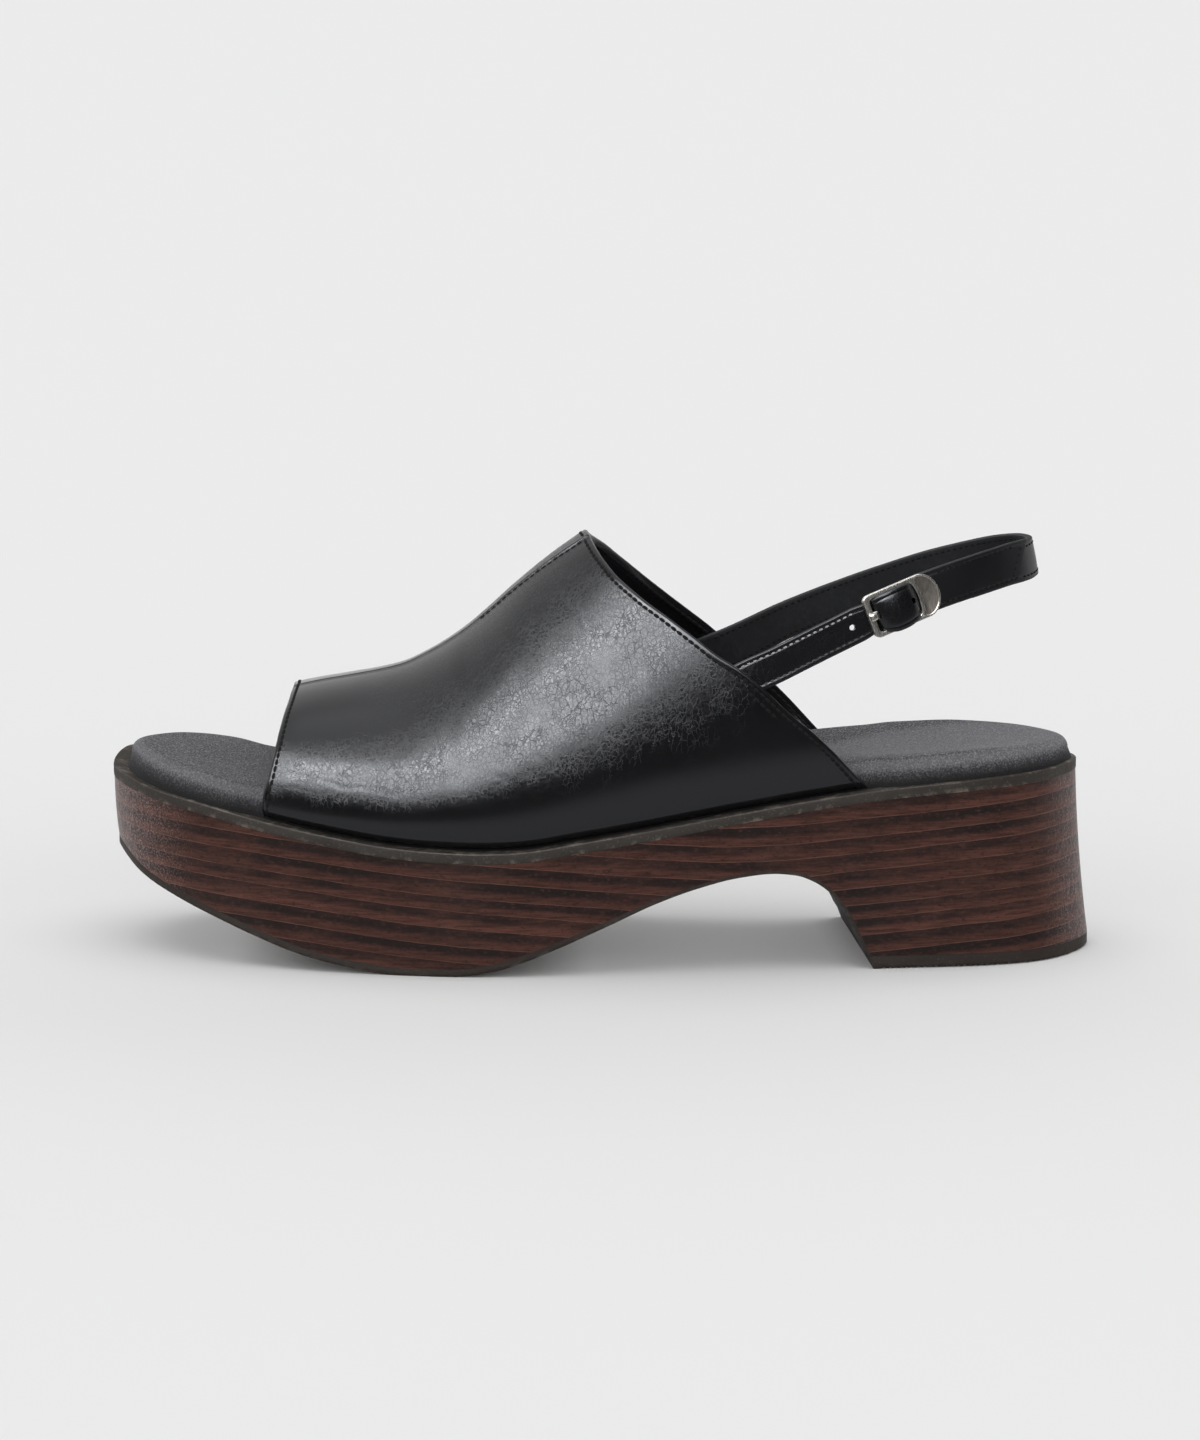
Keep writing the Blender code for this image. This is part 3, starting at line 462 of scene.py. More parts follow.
def makeTopPiece():
    foot = sole["breastFoot"]
    count = int((sole["heelCorner"] - foot) / topPiece["toothPitch"] * topPiece["perTooth"])
    stations = np.linspace(foot, sole["heelCorner"], count)
    thick = outsole["topPiece"]
    inset, soft = (drawnIn(edge, 0.0, block["heelFlare"]) for edge in outsole["insets"])

    def tread(x, y, v):
        s = breastLine(x, v)
        tooth = np.abs(np.mod((s - foot + topPiece["toothSlant"] * y) / topPiece["toothPitch"], 1) - 0.5) * 2
        return topPiece["toothDepth"] * tooth * ease((s - foot - topPiece["plain"]) / topPiece["plainRun"])

    levels = [(soft, tread), (inset, lambda x, y, v: topPiece["hollowFrom"] + 0.5 * tread(x, y, v))]
    levels += [(inset, lambda x, y, v, t=t: 0 * x + thick * t) for t in topPiece["levels"]]
    levels += [(soft, lambda x, y, v: 0 * x + thick)]
    obj = soleSolid("heelTopPiece", levels, stations, acrossFine, roundToe=False)
    points = readPoints(obj)
    shoe = toShoe(points)
    lean = np.clip(1 - (shoe[:, 0] - topPiece["leanFrom"]) / topPiece["leanRun"], 0, 1) ** 2
    points[:, 0] += thick / breastSlope * lean * shoe[:, 2] / thick * mm     # front follows the breast
    writePoints(obj, points)
    paint(obj, "edge", bell(shoe[:, 2], 0.5))
    return finishPiece(obj, "sole_rubber", "heel_top_piece", angle=50)


# padded suede insole with a rolled edge

insole = {
    "edge": 4.2, "steps": 11, "tuck": 1.0, "sunk": 0.1, "rollReach": 6.2,
    "lay": [           # station, distance from the midsole rim, thickness
        (0.0, 4.8, 8.7), (7.0, 3.6, 8.3), (18.0, 2.3, 7.6), (29.0, 1.9, 7.2), (38.0, 5.0, 7.1),
        (60.0, 5.3, 7.0), (183.0, 5.3, 6.8), (196.5, 5.1, 6.7), (205.0, 2.4, 6.6), (250.5, 2.2, 6.6)],
    "dish": [          # hollows under heel and ball: depth, station, reach, offset, half width
        (0.9, 218, 34, -2, 24), (0.6, 80, 30, 0, 38)],
    "archRise": 1.6, "arch": (160, 34, 0.55),        # station, reach, share of the width it starts at
    "foam": (0.00012, 70, 2.0),                      # unevenness: height, fineness, how far above the welt
}


def makeInsole():
    margin, thick = smoothTable(insole["lay"], 1), smoothTable(insole["lay"], 2)
    radius = insole["edge"]

    def footbed(x, y, v):        # shallow hollows and a little rise under the arch
        station, reach, start = insole["arch"]
        hollows = [-deep * bell(x - s, far) * np.clip(1 - ((y - offset) / half) ** 2, 0, 1)
                   for deep, s, far, offset, half in insole["dish"]]
        return sum(hollows) + insole["archRise"] * bell(x - station, reach) * ease((v - start) / (1 - start))

    levels = [(lambda s: margin(s) - insole["tuck"], lambda x, y, v: feather(x) - insole["sunk"])]
    for angle in np.linspace(0, pi / 2, insole["steps"]):
        draw, drop, share = radius * (1 - cos(angle)), radius * (1 - sin(angle)), sin(angle)
        levels.append((lambda s, draw=draw: margin(s) + draw, lambda x, y, v, drop=drop, share=share:
                       feather(x) + thick(x) - drop + share * footbed(x, y, v)))
    obj = soleSolid("insole", levels, fullSole, acrossFine)
    points = readPoints(obj)
    high, fine, above = insole["foam"]
    for k, p in enumerate(points):
        if p[2] > mm * (feather(toShoe(p)[0]) + above):
            points[k, 2] += high * noise.noise(Vector(p) * fine)
    writePoints(obj, points)
    shoe = toShoe(points)
    below = feather(shoe[:, 0]) + thick(shoe[:, 0]) - shoe[:, 2]
    paint(obj, "roll", np.clip(below / insole["rollReach"], 0, 1))
    return finishPiece(obj, "insole_suede", "insole", angle=60)


# upper: one shell from the toe opening to the topline, sewn along the middle

upper = {
    "wall": 2.0, "inset": 2.6, "footLift": 0.1,
    "outerRuns": [(0, 0.07, 10), (0.07, 0.87, 96), (0.87, 1, 44)],     # shares: from, to, count
    "innerRuns": [(1, 0.07, 92), (0.07, 0, 9)],
    "rowRuns": [(0, 0.06, 15), (0.06, 0.94, 122), (0.94, 1, 17)],      # toe edge to rear edge
    "fold": (0.35, 0.5), "footTurn": (1.4, 2.9),                       # depth, reach
    "seamGroove": (0.42, 0.3), "seamLip": (0.12, 0.9, 0.6), "seamRun": (46.5, 128, 120),
    "uneven": [(0.06, 48), (0.02, 150)],                               # height, fineness
    "skiveReach": 3.0, "calmEdge": (1.1, 0.9), "edgeReach": 0.5,
    "sections": [      # station, ridge height, ridge offset, height of the widest line, bulge, fullness
        (36.0, 63.0, 2.6, 4.0, 1.0, 2.00), (47.3, 67.3, 2.3, 4.5, 1.2, 2.00),
        (54.3, 68.9, 2.3, 5.0, 1.3, 1.95), (62.1, 70.3, 2.3, 5.8, 1.4, 1.90),
        (70.0, 71.8, 2.3, 6.5, 1.5, 1.85), (76.0, 73.4, 2.3, 7.0, 1.6, 1.80),
        (83.0, 76.8, 2.3, 7.8, 1.7, 1.75), (88.1, 79.9, 2.3, 8.4, 1.8, 1.75),
        (93.3, 83.7, 2.3, 9.0, 1.9, 1.70), (98.5, 88.2, 2.3, 9.8, 2.0, 1.70),
        (104.0, 93.3, 2.2, 10.5, 2.1, 1.70), (114.0, 101.6, 2.0, 11.8, 2.3, 1.65),
        (123.4, 108.4, 1.6, 13.0, 2.5, 1.65), (145.0, 124.0, 0.0, 16.2, 3.0, 1.70),
        (172.0, 141.0, -2.0, 17.0, 3.0, 1.75), (205.0, 158.0, -3.0, 17.0, 2.5, 1.80)],
    "toeEdge": [       # share of the half section from foot to ridge, station
        (0.0, 41.0), (0.10, 41.2), (0.23, 42.7), (0.40, 44.3), (0.61, 45.8), (0.75, 46.7), (1.0, 47.5)],
    "rearOuter": [
        (0.0, 195.0), (0.083, 187.9), (0.151, 181.3), (0.211, 174.9), (0.28, 168.5), (0.34, 162.5),
        (0.389, 156.8), (0.45, 151.0), (0.514, 145.2), (0.606, 137.6), (0.732, 130.1), (0.875, 125.2),
        (1.0, 123.0)],
    "rearInner": [
        (0.0, 190.0), (0.055, 184.8), (0.169, 174.7), (0.268, 165.4), (0.379, 156.1), (0.44, 150.8),
        (0.505, 145.5), (0.578, 140.2), (0.665, 134.9), (0.771, 129.6), (0.928, 123.9), (1.0, 123.0)],
    "seam": [          # station, how far the middle seam lies from the ridge on the outer side
        (40.0, 2.0), (60.0, 2.2), (80.0, 3.0), (100.0, 4.6), (123.0, 6.4), (140.0, 7.0)],
    "rearStitch": 1.5, "toeStitch": 1.5, "seamStitch": 1.15, "rootStitch": 3.3, "skive": 1.0,
    "flexLeast": 0.1,
    "flex": [          # where the leather creases: station, height, reach along and up, share
        (127, 83, 36, 25, 0.95), (60, 51, 27, 8, 0.85), (99, 60, 29, 13, 0.7)],
    "creases": [       # outer side: station and height of both ends, bow, depth, width
        (47, 50.0, 64, 46.5, 1.2, 0.16, 0.9), (50, 52.5, 72, 49.5, -1.0, 0.12, 0.8),
        (47, 47.0, 57, 44.8, 0.6, 0.06, 0.8), (60, 47.5, 78, 45.5, 1.0, 0.10, 0.9),
        (118, 74.0, 122, 56.0, 1.5, 0.12, 0.9), (127, 80.0, 129, 63.0, -1.2, 0.10, 0.8),
        (110, 66.0, 116, 52.0, 1.4, 0.12, 0.9), (134, 74.0, 135, 60.0, 1.0, 0.10, 0.9),
        (140, 66.0, 152, 63.5, 1.0, 0.12, 0.8), (142, 62.0, 156, 59.0, 1.2, 0.10, 0.9),
        (136, 58.5, 150, 55.5, 0.8, 0.10, 0.9), (104, 58.0, 118, 50.5, 1.8, 0.05, 1.0),
        (96, 52.0, 110, 47.0, 1.4, 0.05, 1.0), (121, 92.0, 124, 78.0, 1.0, 0.08, 0.9)],
}

ridgeZ, ridgeY, widest, bulge, fullness = (smoothTable(upper["sections"], c) for c in range(1, 6))
footTable = {lateral: np.array([onRim(np.array([a]), upper["inset"])[0] for a in rimArc[:heelIndex + 1]]),
             medial: np.array([onRim(np.array([a]), upper["inset"])[0] for a in rimArc[heelIndex:]])[::-1]}
footStep = np.linspace(0, 1, 24)
archStep = np.linspace(0, pi / 2, 120)[1:]


def halfSection(side, s):        # outer face of one half, foot to ridge, with the length so far
    footZ = feather(s) + upper["footLift"]
    footY = np.interp(s, footTable[side][:, 0], footTable[side][:, 1])
    wideZ, wideY = footZ + widest(s), footY + side * bulge(s)
    power = 2 / fullness(s)
    archY = ridgeY(s) + (wideY - ridgeY(s)) * np.clip(np.cos(archStep), 0, 1) ** power
    archZ = wideZ + (ridgeZ(s) - wideZ) * np.sin(archStep) ** power
    y = np.concatenate([wideY - side * bulge(s) * (1 - footStep) ** 2, archY])
    z = np.concatenate([footZ + (wideZ - footZ) * footStep, archZ])
    return y, z, arcOf(np.stack([y, z], 1))


def wallPoint(side, s, share):
    y, z, length = halfSection(side, s)
    place = share * length[-1]
    return np.interp(place, length, y), np.interp(place, length, z)


seamOffset = smoothTable(upper["seam"])


def seamShare(s):
    return 1 - float(seamOffset(s)) / halfSection(lateral, s)[2][-1]


def nearness(points, line, step=0.00015):        # distance in mm of each point from a line
    line = evenly(np.asarray(line), step)
    tree = kdtree.KDTree(len(line))
    for k, p in enumerate(line):
        tree.insert(p, k)
    tree.balance()
    return np.array([tree.find(p)[2] for p in points]) / mm


def rowAt(points, normals, distance, wanted):    # on each column the place at a distance from the edge
    out = []
    for column in range(points.shape[1]):
        d = distance[:, column]
        if d.max() < wanted:
            continue
        k = int(np.argmax(d >= wanted))
        t = (wanted - d[k - 1]) / (d[k] - d[k - 1]) if k else 0.0
        place = points[k - 1, column] * (1 - t) + points[k, column] * t
        out.append(np.concatenate([place, normals[k, column]]))
    return np.array(out)


def inRuns(runs):                # evenly spaced values, run after run
    return np.concatenate([np.linspace(*run)[min(k, 1):] for k, run in enumerate(runs)])


def creaseLift(shoe, s0, z0, s1, z1, bow, depth, width):     # trough with a soft lip on both sides
    a, b = np.array([s0, z0]), np.array([s1, z1])
    along = (b - a) / np.linalg.norm(b - a)
    rel = shoe[:, (0, 2)] - a
    t = rel @ along / np.linalg.norm(b - a)
    side = rel @ np.array([-along[1], along[0]]) - bow * 4 * t * (1 - t)
    run = ease(t / 0.25) * ease((1 - t) / 0.25) * (shoe[:, 1] < 0)
    lip = 0.35 * bell(np.abs(side) - 1.2 * width, 0.7 * width)
    return 0.6 * depth * run * (lip - bell(side, 0.6 * width))


def makeUpper():
    toe = smoothTable(upper["toeEdge"])
    rear = {lateral: smoothTable(upper["rearOuter"]), medial: smoothTable(upper["rearInner"])}
    columns = [(lateral, c) for c in inRuns(upper["outerRuns"])]
    columns += [(medial, c) for c in inRuns(upper["innerRuns"])[1:]]
    rows = inRuns(upper["rowRuns"])
    wide = np.empty((len(rows), len(columns), 3))
    for j, (side, share) in enumerate(columns):
        start, end = float(toe(share)), float(rear[side](share))
        for i, row in enumerate(rows):
            s = start + row * (end - start)
            wide[i, j] = (s, *wallPoint(side, s, share))
    obj, i, j = addGrid("upper", len(rows) - 1, len(columns) - 1)
    skin = toWorld(wide)
    writePoints(obj, skin[i, j])
    if obj.data.polygons[0].normal.y > 0:
        editMesh(obj, (bpy.ops.mesh.flip_normals, {}))
    normals, points = readPoints(obj, "normal"), readPoints(obj)
    shoe = toShoe(points)

    toRear, toToe = nearness(points, skin[-1]), nearness(points, skin[0])
    toEdge = np.minimum(toRear, toToe)
    seamLine = [toWorld((s, *wallPoint(lateral, s, seamShare(s)))) for s in np.linspace(*upper["seamRun"])]
    toSeam = nearness(points, seamLine)

    lift = np.zeros(len(points))
    aboveFoot = shoe[:, 2] - feather(shoe[:, 0])
    for d, (deep, reach) in ((toRear, upper["fold"]), (toToe, upper["fold"]), (aboveFoot, upper["footTurn"])):
        lift -= deep * np.clip(1 - d / reach, 0, 1) ** 2
    (groove, grooveWide), (lip, lipAway, lipWide) = upper["seamGroove"], upper["seamLip"]
    lift -= groove * bell(toSeam, grooveWide)
    lift += lip * bell(toSeam - lipAway, lipWide)
    for crease in upper["creases"]:
        lift += creaseLift(shoe, *crease)
    for k, p in enumerate(points):                             # soft unevenness of the hide
        lift[k] += sum(high * noise.noise(Vector(p) * fine) for high, fine in upper["uneven"])

    applyModifier(obj, "SOLIDIFY", thickness=upper["wall"] * mm, offset=-1.0, use_even_offset=True)
    shaped = readPoints(obj)
    count = len(points)
    shaped[:count] += normals * lift[:, None] * mm
    thinned = upper["skive"] * np.clip(1 - toEdge / upper["skiveReach"], 0, 1) ** 2
    shaped[count:2 * count] += normals * thinned[:, None] * mm       # skived inside at the edges
    writePoints(obj, shaped)
    for face in obj.data.polygons:           # leather outside, lining inside, painted cut edge
        within = sum(v >= count for v in face.vertices)
        face.material_index = 1 if within == len(face.vertices) else 2 if within else 0
    edge, flex = np.zeros(len(shaped)), np.zeros(len(shaped))
    edge[:count] = np.maximum(bell(toRear, upper["edgeReach"]), bell(toToe, upper["edgeReach"]))
    flex[:count] = upper["flexLeast"]
    for s, z, reach, tall, share in upper["flex"]:
        flex[:count] += share * np.exp(-((shoe[:, 0] - s) / reach) ** 4 - ((shoe[:, 2] - z) / tall) ** 4)
    calmFrom, calmRun = upper["calmEdge"]
    flex[:count] *= ease((toEdge - calmFrom) / calmRun)
    paint(obj, "edge", edge)
    paint(obj, "flex", np.clip(flex, 0, 1))

    grid = np.empty((len(rows), len(columns)), int)
    grid[i, j] = np.arange(count)
    faces = {"": (shaped[:count][grid], normals[grid]),
             "Inside": (shaped[count:2 * count][grid], -normals[grid])}
    sewn = {}
    for label, (skin, out) in faces.items():                   # rows of stitches on both faces
        for name in ("rear", "root"):
            sewn[name + label] = rowAt(skin[::-1], out[::-1], toRear[grid][::-1], upper[name + "Stitch"])
        sewn["toe" + label] = rowAt(skin, out, toToe[grid], upper["toeStitch"])
    return finishPiece(obj, "black_leather", "upper", angle=70), sewn


# straps: lofted along the sling, given from the hinge bar of the buckle

sling = {
    "heelThick": 1.8, "rootClear": 0.35,
    "rootInner": [(146.0, 67.9), (152.0, 70.3), (158.0, 72.8)],        # station, height
    "rootOuter": [(164.0, 75.0), (157.0, 71.4), (150.0, 67.6)],
    "path": [          # station, offset, height, lean in degrees
        (165.0, 27.0, 75.8, 6.0), (179.0, 26.2, 82.0, 7.0), (193.0, 23.8, 87.8, 8.0),
        (203.0, 21.2, 91.7, 9.0), (213.5, 17.8, 95.6, 10.0), (224.0, 13.2, 98.9, 11.0),
        (231.0, 8.8, 101.0, 11.0), (236.0, 3.8, 102.2, 11.0), (238.2, -2.0, 102.4, 11.0),
        (236.0, -7.8, 101.8, 11.0), (231.0, -12.8, 101.1, 11.0), (224.0, -17.8, 99.6, 10.0),
        (213.5, -23.2, 96.9, 9.0), (203.0, -27.1, 93.5, 8.0), (196.0, -29.4, 90.7, 7.0),
        (185.0, -32.3, 85.1, 6.0), (172.0, -34.6, 78.6, 5.0)],
    "buckleStation": 200.9, "seat": 2.1,
}
straps = {
    "heelWidth": 10.0, "heelEnd": 22.0,
    "buckleWidth": 10.6, "foldWidth": 8.4, "foldRadius": 1.8, "buckleThick": 1.2,
    "lapEnd": 37.9, "returnEnd": 13.0,
    "billetWidth": 9.0, "billetThick": 1.3,
    "outerLayer": [(8.0, -0.3), (5.0, -0.3), (3.9, -0.15), (2.9, 0.35), (2.1, 1.0)],
    "billet": [        # place, height, half width, dome, shift; it humps up through the window
        (10.0, 1.3, 4.2, 0.0, 0.0), (8.0, 1.3, 4.2, 0.0, 0.0), (6.5, 1.35, 4.2, 0.0, 0.0),
        (5.6, 1.65, 4.2, 0.05, 0.0), (4.9, 2.45, 4.25, 0.2, 0.0), (4.1, 3.6, 4.6, 0.45, -0.1),
        (2.9, 4.5, 5.05, 0.65, -0.25), (1.0, 5.0, 5.35, 0.75, -0.4), (-1.3, 5.15, 5.45, 0.8, -0.45),
        (-3.0, 5.0, 5.35, 0.75, -0.4), (-4.4, 4.6, 5.05, 0.65, -0.25), (-5.5, 3.9, 4.6, 0.45, -0.1),
        (-6.4, 2.95, 4.25, 0.15, 0.0), (-7.2, 2.3, 4.2, 0.0, 0.0), (-8.6, 1.85, 4.25, 0.0, 0.0),
        (-10.5, 1.45, 4.5, 0.0, 0.0), (-15.0, 0.4, 4.5, 0.0, 0.0), (-22.0, -1.2, 4.5, 0.0, 0.0),
        (-28.0, -2.0, 4.5, 0.0, 0.0)],
    "lapSlant": 3.3, "slantReach": 7.0, "heelDrop": -0.6, "flex": 0.3,
    "rootFrom": 34.0, "rootRun": 20.0, "rootWiden": 0.5, "dropFrom": 70.0, "dropRun": 30.0,
    "lapSlot": (6.7, 3.0, -0.65), "billetSlot": (1.5, 2.1, -6.6),      # length, width, place
    "toolDepth": 12.0,
    "holes": (-12.6, 3.2), "holeSize": 1.5, "stitchInset": 1.35,
    "roll": 0.42, "crown": (0.04, 1.6, 2.0), "groove": (0.1, 0.2),     # height, start, run; depth, width
    "steps": (0.0, 0.1, 0.28, 0.5, 0.8, 1.1, 1.25, 1.35, 1.45, 1.6, 1.9, 2.5),     # from the edge inward
}


def rootRow(side, s, z, thickness):      # strap root against the inner face of the upper
    half = straps["billetWidth"] / 2
    y, height = halfSection(side, s)[:2]
    low, high = np.interp((z - half, z + half), height, y)
    inward = upper["wall"] + sling["rootClear"] + thickness / 2
    return s, (low + high) / 2 - side * inward, z, degrees(atan2(side * (low - high), 2 * half))


slingRows = [rootRow(medial, s, z, sling["heelThick"]) for s, z in sling["rootInner"]] + sling["path"]
slingRows += [rootRow(lateral, s, z, straps["billetThick"]) for s, z in sling["rootOuter"]]
slingLine = roundCurve(slingRows, 24, False)
slingArc = arcOf(slingLine[:, :3])
backIndex = slingLine[:, 0].argmax()
barArc = float(np.interp(-sling["buckleStation"], -slingLine[backIndex:, 0], slingArc[backIndex:]))


def alongSling(arc, count=3):    # the first values of the line at a distance along it
    return np.stack([np.interp(arc, slingArc, slingLine[:, k]) for k in range(count)], 1)


def unit(rows):
    return rows / np.linalg.norm(rows, axis=1)[:, None]


def slingFrames(near=1.5):       # centre, tangent, outward and upward directions along the sling
    step = np.linspace(0, slingArc[-1], 900)
    before, after = (alongSling(np.clip(step + d, 0, slingArc[-1])) for d in (-near, near))
    tangent = unit(after - before)
    lean = np.radians(alongSling(step, 4)[:, 3])
    flat = unit(np.column_stack([-tangent[:, 1], tangent[:, 0], 0 * lean]))
    outward = flat * np.cos(lean)[:, None] + np.array([0, 0, 1.0]) * np.sin(lean)[:, None]
    outward = unit(outward - tangent * np.sum(outward * tangent, 1)[:, None])
    return step, np.column_stack([alongSling(step), tangent, outward, np.cross(tangent, outward)])


slingStep, slingTable = slingFrames()


def slingRow(arc):
    return np.stack([np.interp(arc, slingStep, slingTable[:, k]) for k in range(12)], -1)


def strapPoints(place, height, across):      # along to the heel, outward and upward from the hinge bar
    arc = barArc - np.asarray(place, float)
    row = slingRow(arc)
    beyond = arc - np.clip(arc, 0, slingStep[-1])
    p = row[..., 0:3] + row[..., 3:6] * beyond[..., None]
    p = p + row[..., 6:9] * (sling["seat"] + np.asarray(height))[..., None]
    return toWorld(p + row[..., 9:12] * np.asarray(across)[..., None])


def strapSection(half, thick):               # closed cross section: across, outward
    radius = min(straps["roll"], thick / 2)
    (crown, crownFrom, crownRun), (groove, grooveWide) = straps["crown"], straps["groove"]

    def face(e, relief):
        roll = np.sqrt(np.clip(1 - np.clip(1 - e / radius, 0, 1) ** 2, 0, 1))
        raised = crown * ease((e - crownFrom) / crownRun)
        return thick / 2 * roll + relief * (raised - groove * bell(e - straps["stitchInset"], grooveWide))

    edge = np.concatenate([straps["steps"], [half - 0.8, half]])
    outerHalf = np.stack([half - edge, face(edge, 1.0)], 1)
    outerFace = np.vstack([outerHalf * (-1, 1), outerHalf[-2::-1]])
    innerHalf = np.stack([half - edge[::2], -face(edge[::2], 0.0)], 1)[1:]
    innerFace = np.vstack([innerHalf, innerHalf[-2::-1] * (-1, 1)])
    return np.vstack([outerFace, innerFace])


def strapPath(rows, step=0.5):
    path = evenly(roundCurve(rows, 8, False), step)
    along = np.gradient(path[:, :2], axis=0)
    along /= np.linalg.norm(along, axis=1)[:, None]
    return path, np.stack([along[:, 1], -along[:, 0]], 1)


def makeStrap(name, rows, thick, slantFrom=None):
    path, side = strapPath(rows)
    rings, edges = [], []
    for (place, height, half, dome, shift), (alongPart, outPart) in zip(path, side):
        across, out = strapSection(half, thick).T
        lift = out + dome * (1 - (across / half) ** 2)
        slant = 0.0
        if slantFrom is not None:        # end cut on the slant
            share = np.clip(1 - (slantFrom - place) / straps["slantReach"], 0, 1)
            slant = straps["lapSlant"] * share * across / half
        rings.append(strapPoints(place + slant + alongPart * lift, height + outPart * lift, across + shift))
        edges.append(np.maximum(bell(half - np.abs(across), 0.35), 0.25 * (out < -0.1 * thick)))
    obj = loftTube(name, np.array(rings), np.array(edges))
    paint(obj, "flex", np.full(len(obj.data.vertices), straps["flex"]))
    return obj


def withNormals(place, height, across, over):        # points with the direction to points a mm above
    base, above = strapPoints(place, height, across), strapPoints(*over, across)
    return np.hstack([base, (above - base) / mm])


def strapRow(rows, thick, start, end, upside, face=1):   # line for stitches on a strap's face
    path, side = strapPath(rows, 0.3)
    keep = (path[:, 0] <= start) & (path[:, 0] >= end)
    path, side = path[keep], side[keep] * face
    across = upside * (path[:, 2] - straps["stitchInset"]) + path[:, 4]
    base, over = ((path[:, :2] + side * d).T for d in (thick / 2, thick / 2 + 1))
    return withNormals(*base, across, over)


def frameAt(place):              # frame on the sling, measured from the hinge bar
    row = slingRow(barArc - place)
    axes = Matrix((-Vector(row[3:6]), Vector(row[9:12]), Vector(row[6:9]))).transposed().to_4x4()
    point = strapPoints(np.array(float(place)), np.array(0.0), np.array(0.0))
    return Matrix.Translation(Vector(point)) @ axes


def placeAt(obj, matrix):        # put the place into the mesh, object stays at the origin
    obj.data.transform(matrix @ obj.matrix_world)
    obj.matrix_world = Matrix.Identity(4)
    obj.data.update()


def cutSlot(obj, length, width, place):      # slot for the prong
    size = (length * mm, width * mm, straps["toolDepth"] * mm)
    tool = addShape("cube", size, size=1, location=(place * mm, 0, 0))
    placeAt(tool, frameAt(0.0))
    cutAway(obj, tool)


def makeStraps():
    wide = straps["heelWidth"] / 2
    heelRows = []
    for p in np.linspace(barArc, straps["heelEnd"], 60):
        root = float(ease((p - barArc + straps["rootFrom"]) / straps["rootRun"]))
        drop = straps["heelDrop"] * float(ease((straps["dropFrom"] - p) / straps["dropRun"]))
        heelRows.append((p, -sling["seat"], wide + straps["rootWiden"] * root, 0.0, drop - root))
    heel = makeStrap("heelStrap", heelRows, sling["heelThick"])
    finishPiece(heel, "black_leather", "heel_strap", angle=50)

    wide, narrow, fold = straps["buckleWidth"] / 2, straps["foldWidth"] / 2, straps["foldRadius"]
    layer = straps["outerLayer"]
    shape = [(p, layer[0][1], wide) for p in np.linspace(straps["lapEnd"], layer[0][0] + 2, 10)]
    shape += [(p, h, w) for (p, h), w in zip(layer, np.linspace(wide, narrow, len(layer)))]
    shape += [(fold * cos(a), fold * sin(a), narrow) for a in np.linspace(pi / 3, 3 * pi / 2, 10)]
    shape += [(p, -fold, narrow) for p in (3.0, 6.0, straps["returnEnd"])]
    buckleRows = [row + (0.0, 0.0) for row in shape]
    lap = makeStrap("buckleStrap", buckleRows, straps["buckleThick"], straps["lapEnd"])
    cutSlot(lap, *straps["lapSlot"])
    finishPiece(lap, "black_leather", "buckle_strap", angle=50)

    wide, last = straps["billetWidth"] / 2, straps["billet"][-1][0]
    billetRows = list(straps["billet"])
    for p in np.linspace(last, barArc - slingArc[-1], 16)[1:]:
        billetRows.append((p, -sling["seat"], wide, 0.0, 0.0))
    billet = makeStrap("billetStrap", billetRows, straps["billetThick"])
    cutSlot(billet, *straps["billetSlot"])
    for place in straps["holes"]:
        punch = addShape("cylinder", vertices=24, radius=straps["holeSize"] / 2 * mm,
                         depth=straps["toolDepth"] * mm)
        placeAt(punch, frameAt(place))
        cutAway(billet, punch)
    finishPiece(billet, "black_leather", "billet_strap", angle=50)
    return heel, lap, billet, {"heel": heelRows, "buckle": buckleRows, "billet": billetRows}


# buckle: plate with a window, hinge bar and prong

buckle = {
    "left": -8.9, "right": 11.1, "halfWidth": 5.6, "corner": 1.6, "bottom": 3.0, "top": 4.5,
    "rail": 1.1, "windowLeft": -7.4, "windowRight": 4.7, "windowCorner": 1.0, "hollow": 0.6, "nose": 4.6,
    "arris": 0.26, "rimWidth": 0.5, "recess": 0.22,
    "bar": 0.85, "post": (0.9, 0.35), "postOut": 4.6, "postFoot": -0.95, "postArris": 0.25, "barArris": 0.15,
    "prong": [         # place, height, half thickness
        (-0.7, 1.35, 0.55), (-2.4, 1.25, 0.5), (-3.7, 1.75, 0.5), (-5.2, 3.0, 0.5), (-6.4, 4.6, 0.5),
        (-7.4, 5.25, 0.5), (-8.3, 5.32, 0.46), (-8.75, 5.25, 0.28)],
    "prongWidth": 1.85, "square": 0.6, "eye": (1.6, 0.4), "eyeWidth": 2.1, "fieldFrom": 4.0,
}


def arcPoints(centre, radius, start, end, steps):
    angles = np.radians(np.linspace(start, end, steps))
    return [(centre[0] + radius[0] * cos(a), centre[1] + radius[1] * sin(a)) for a in angles]


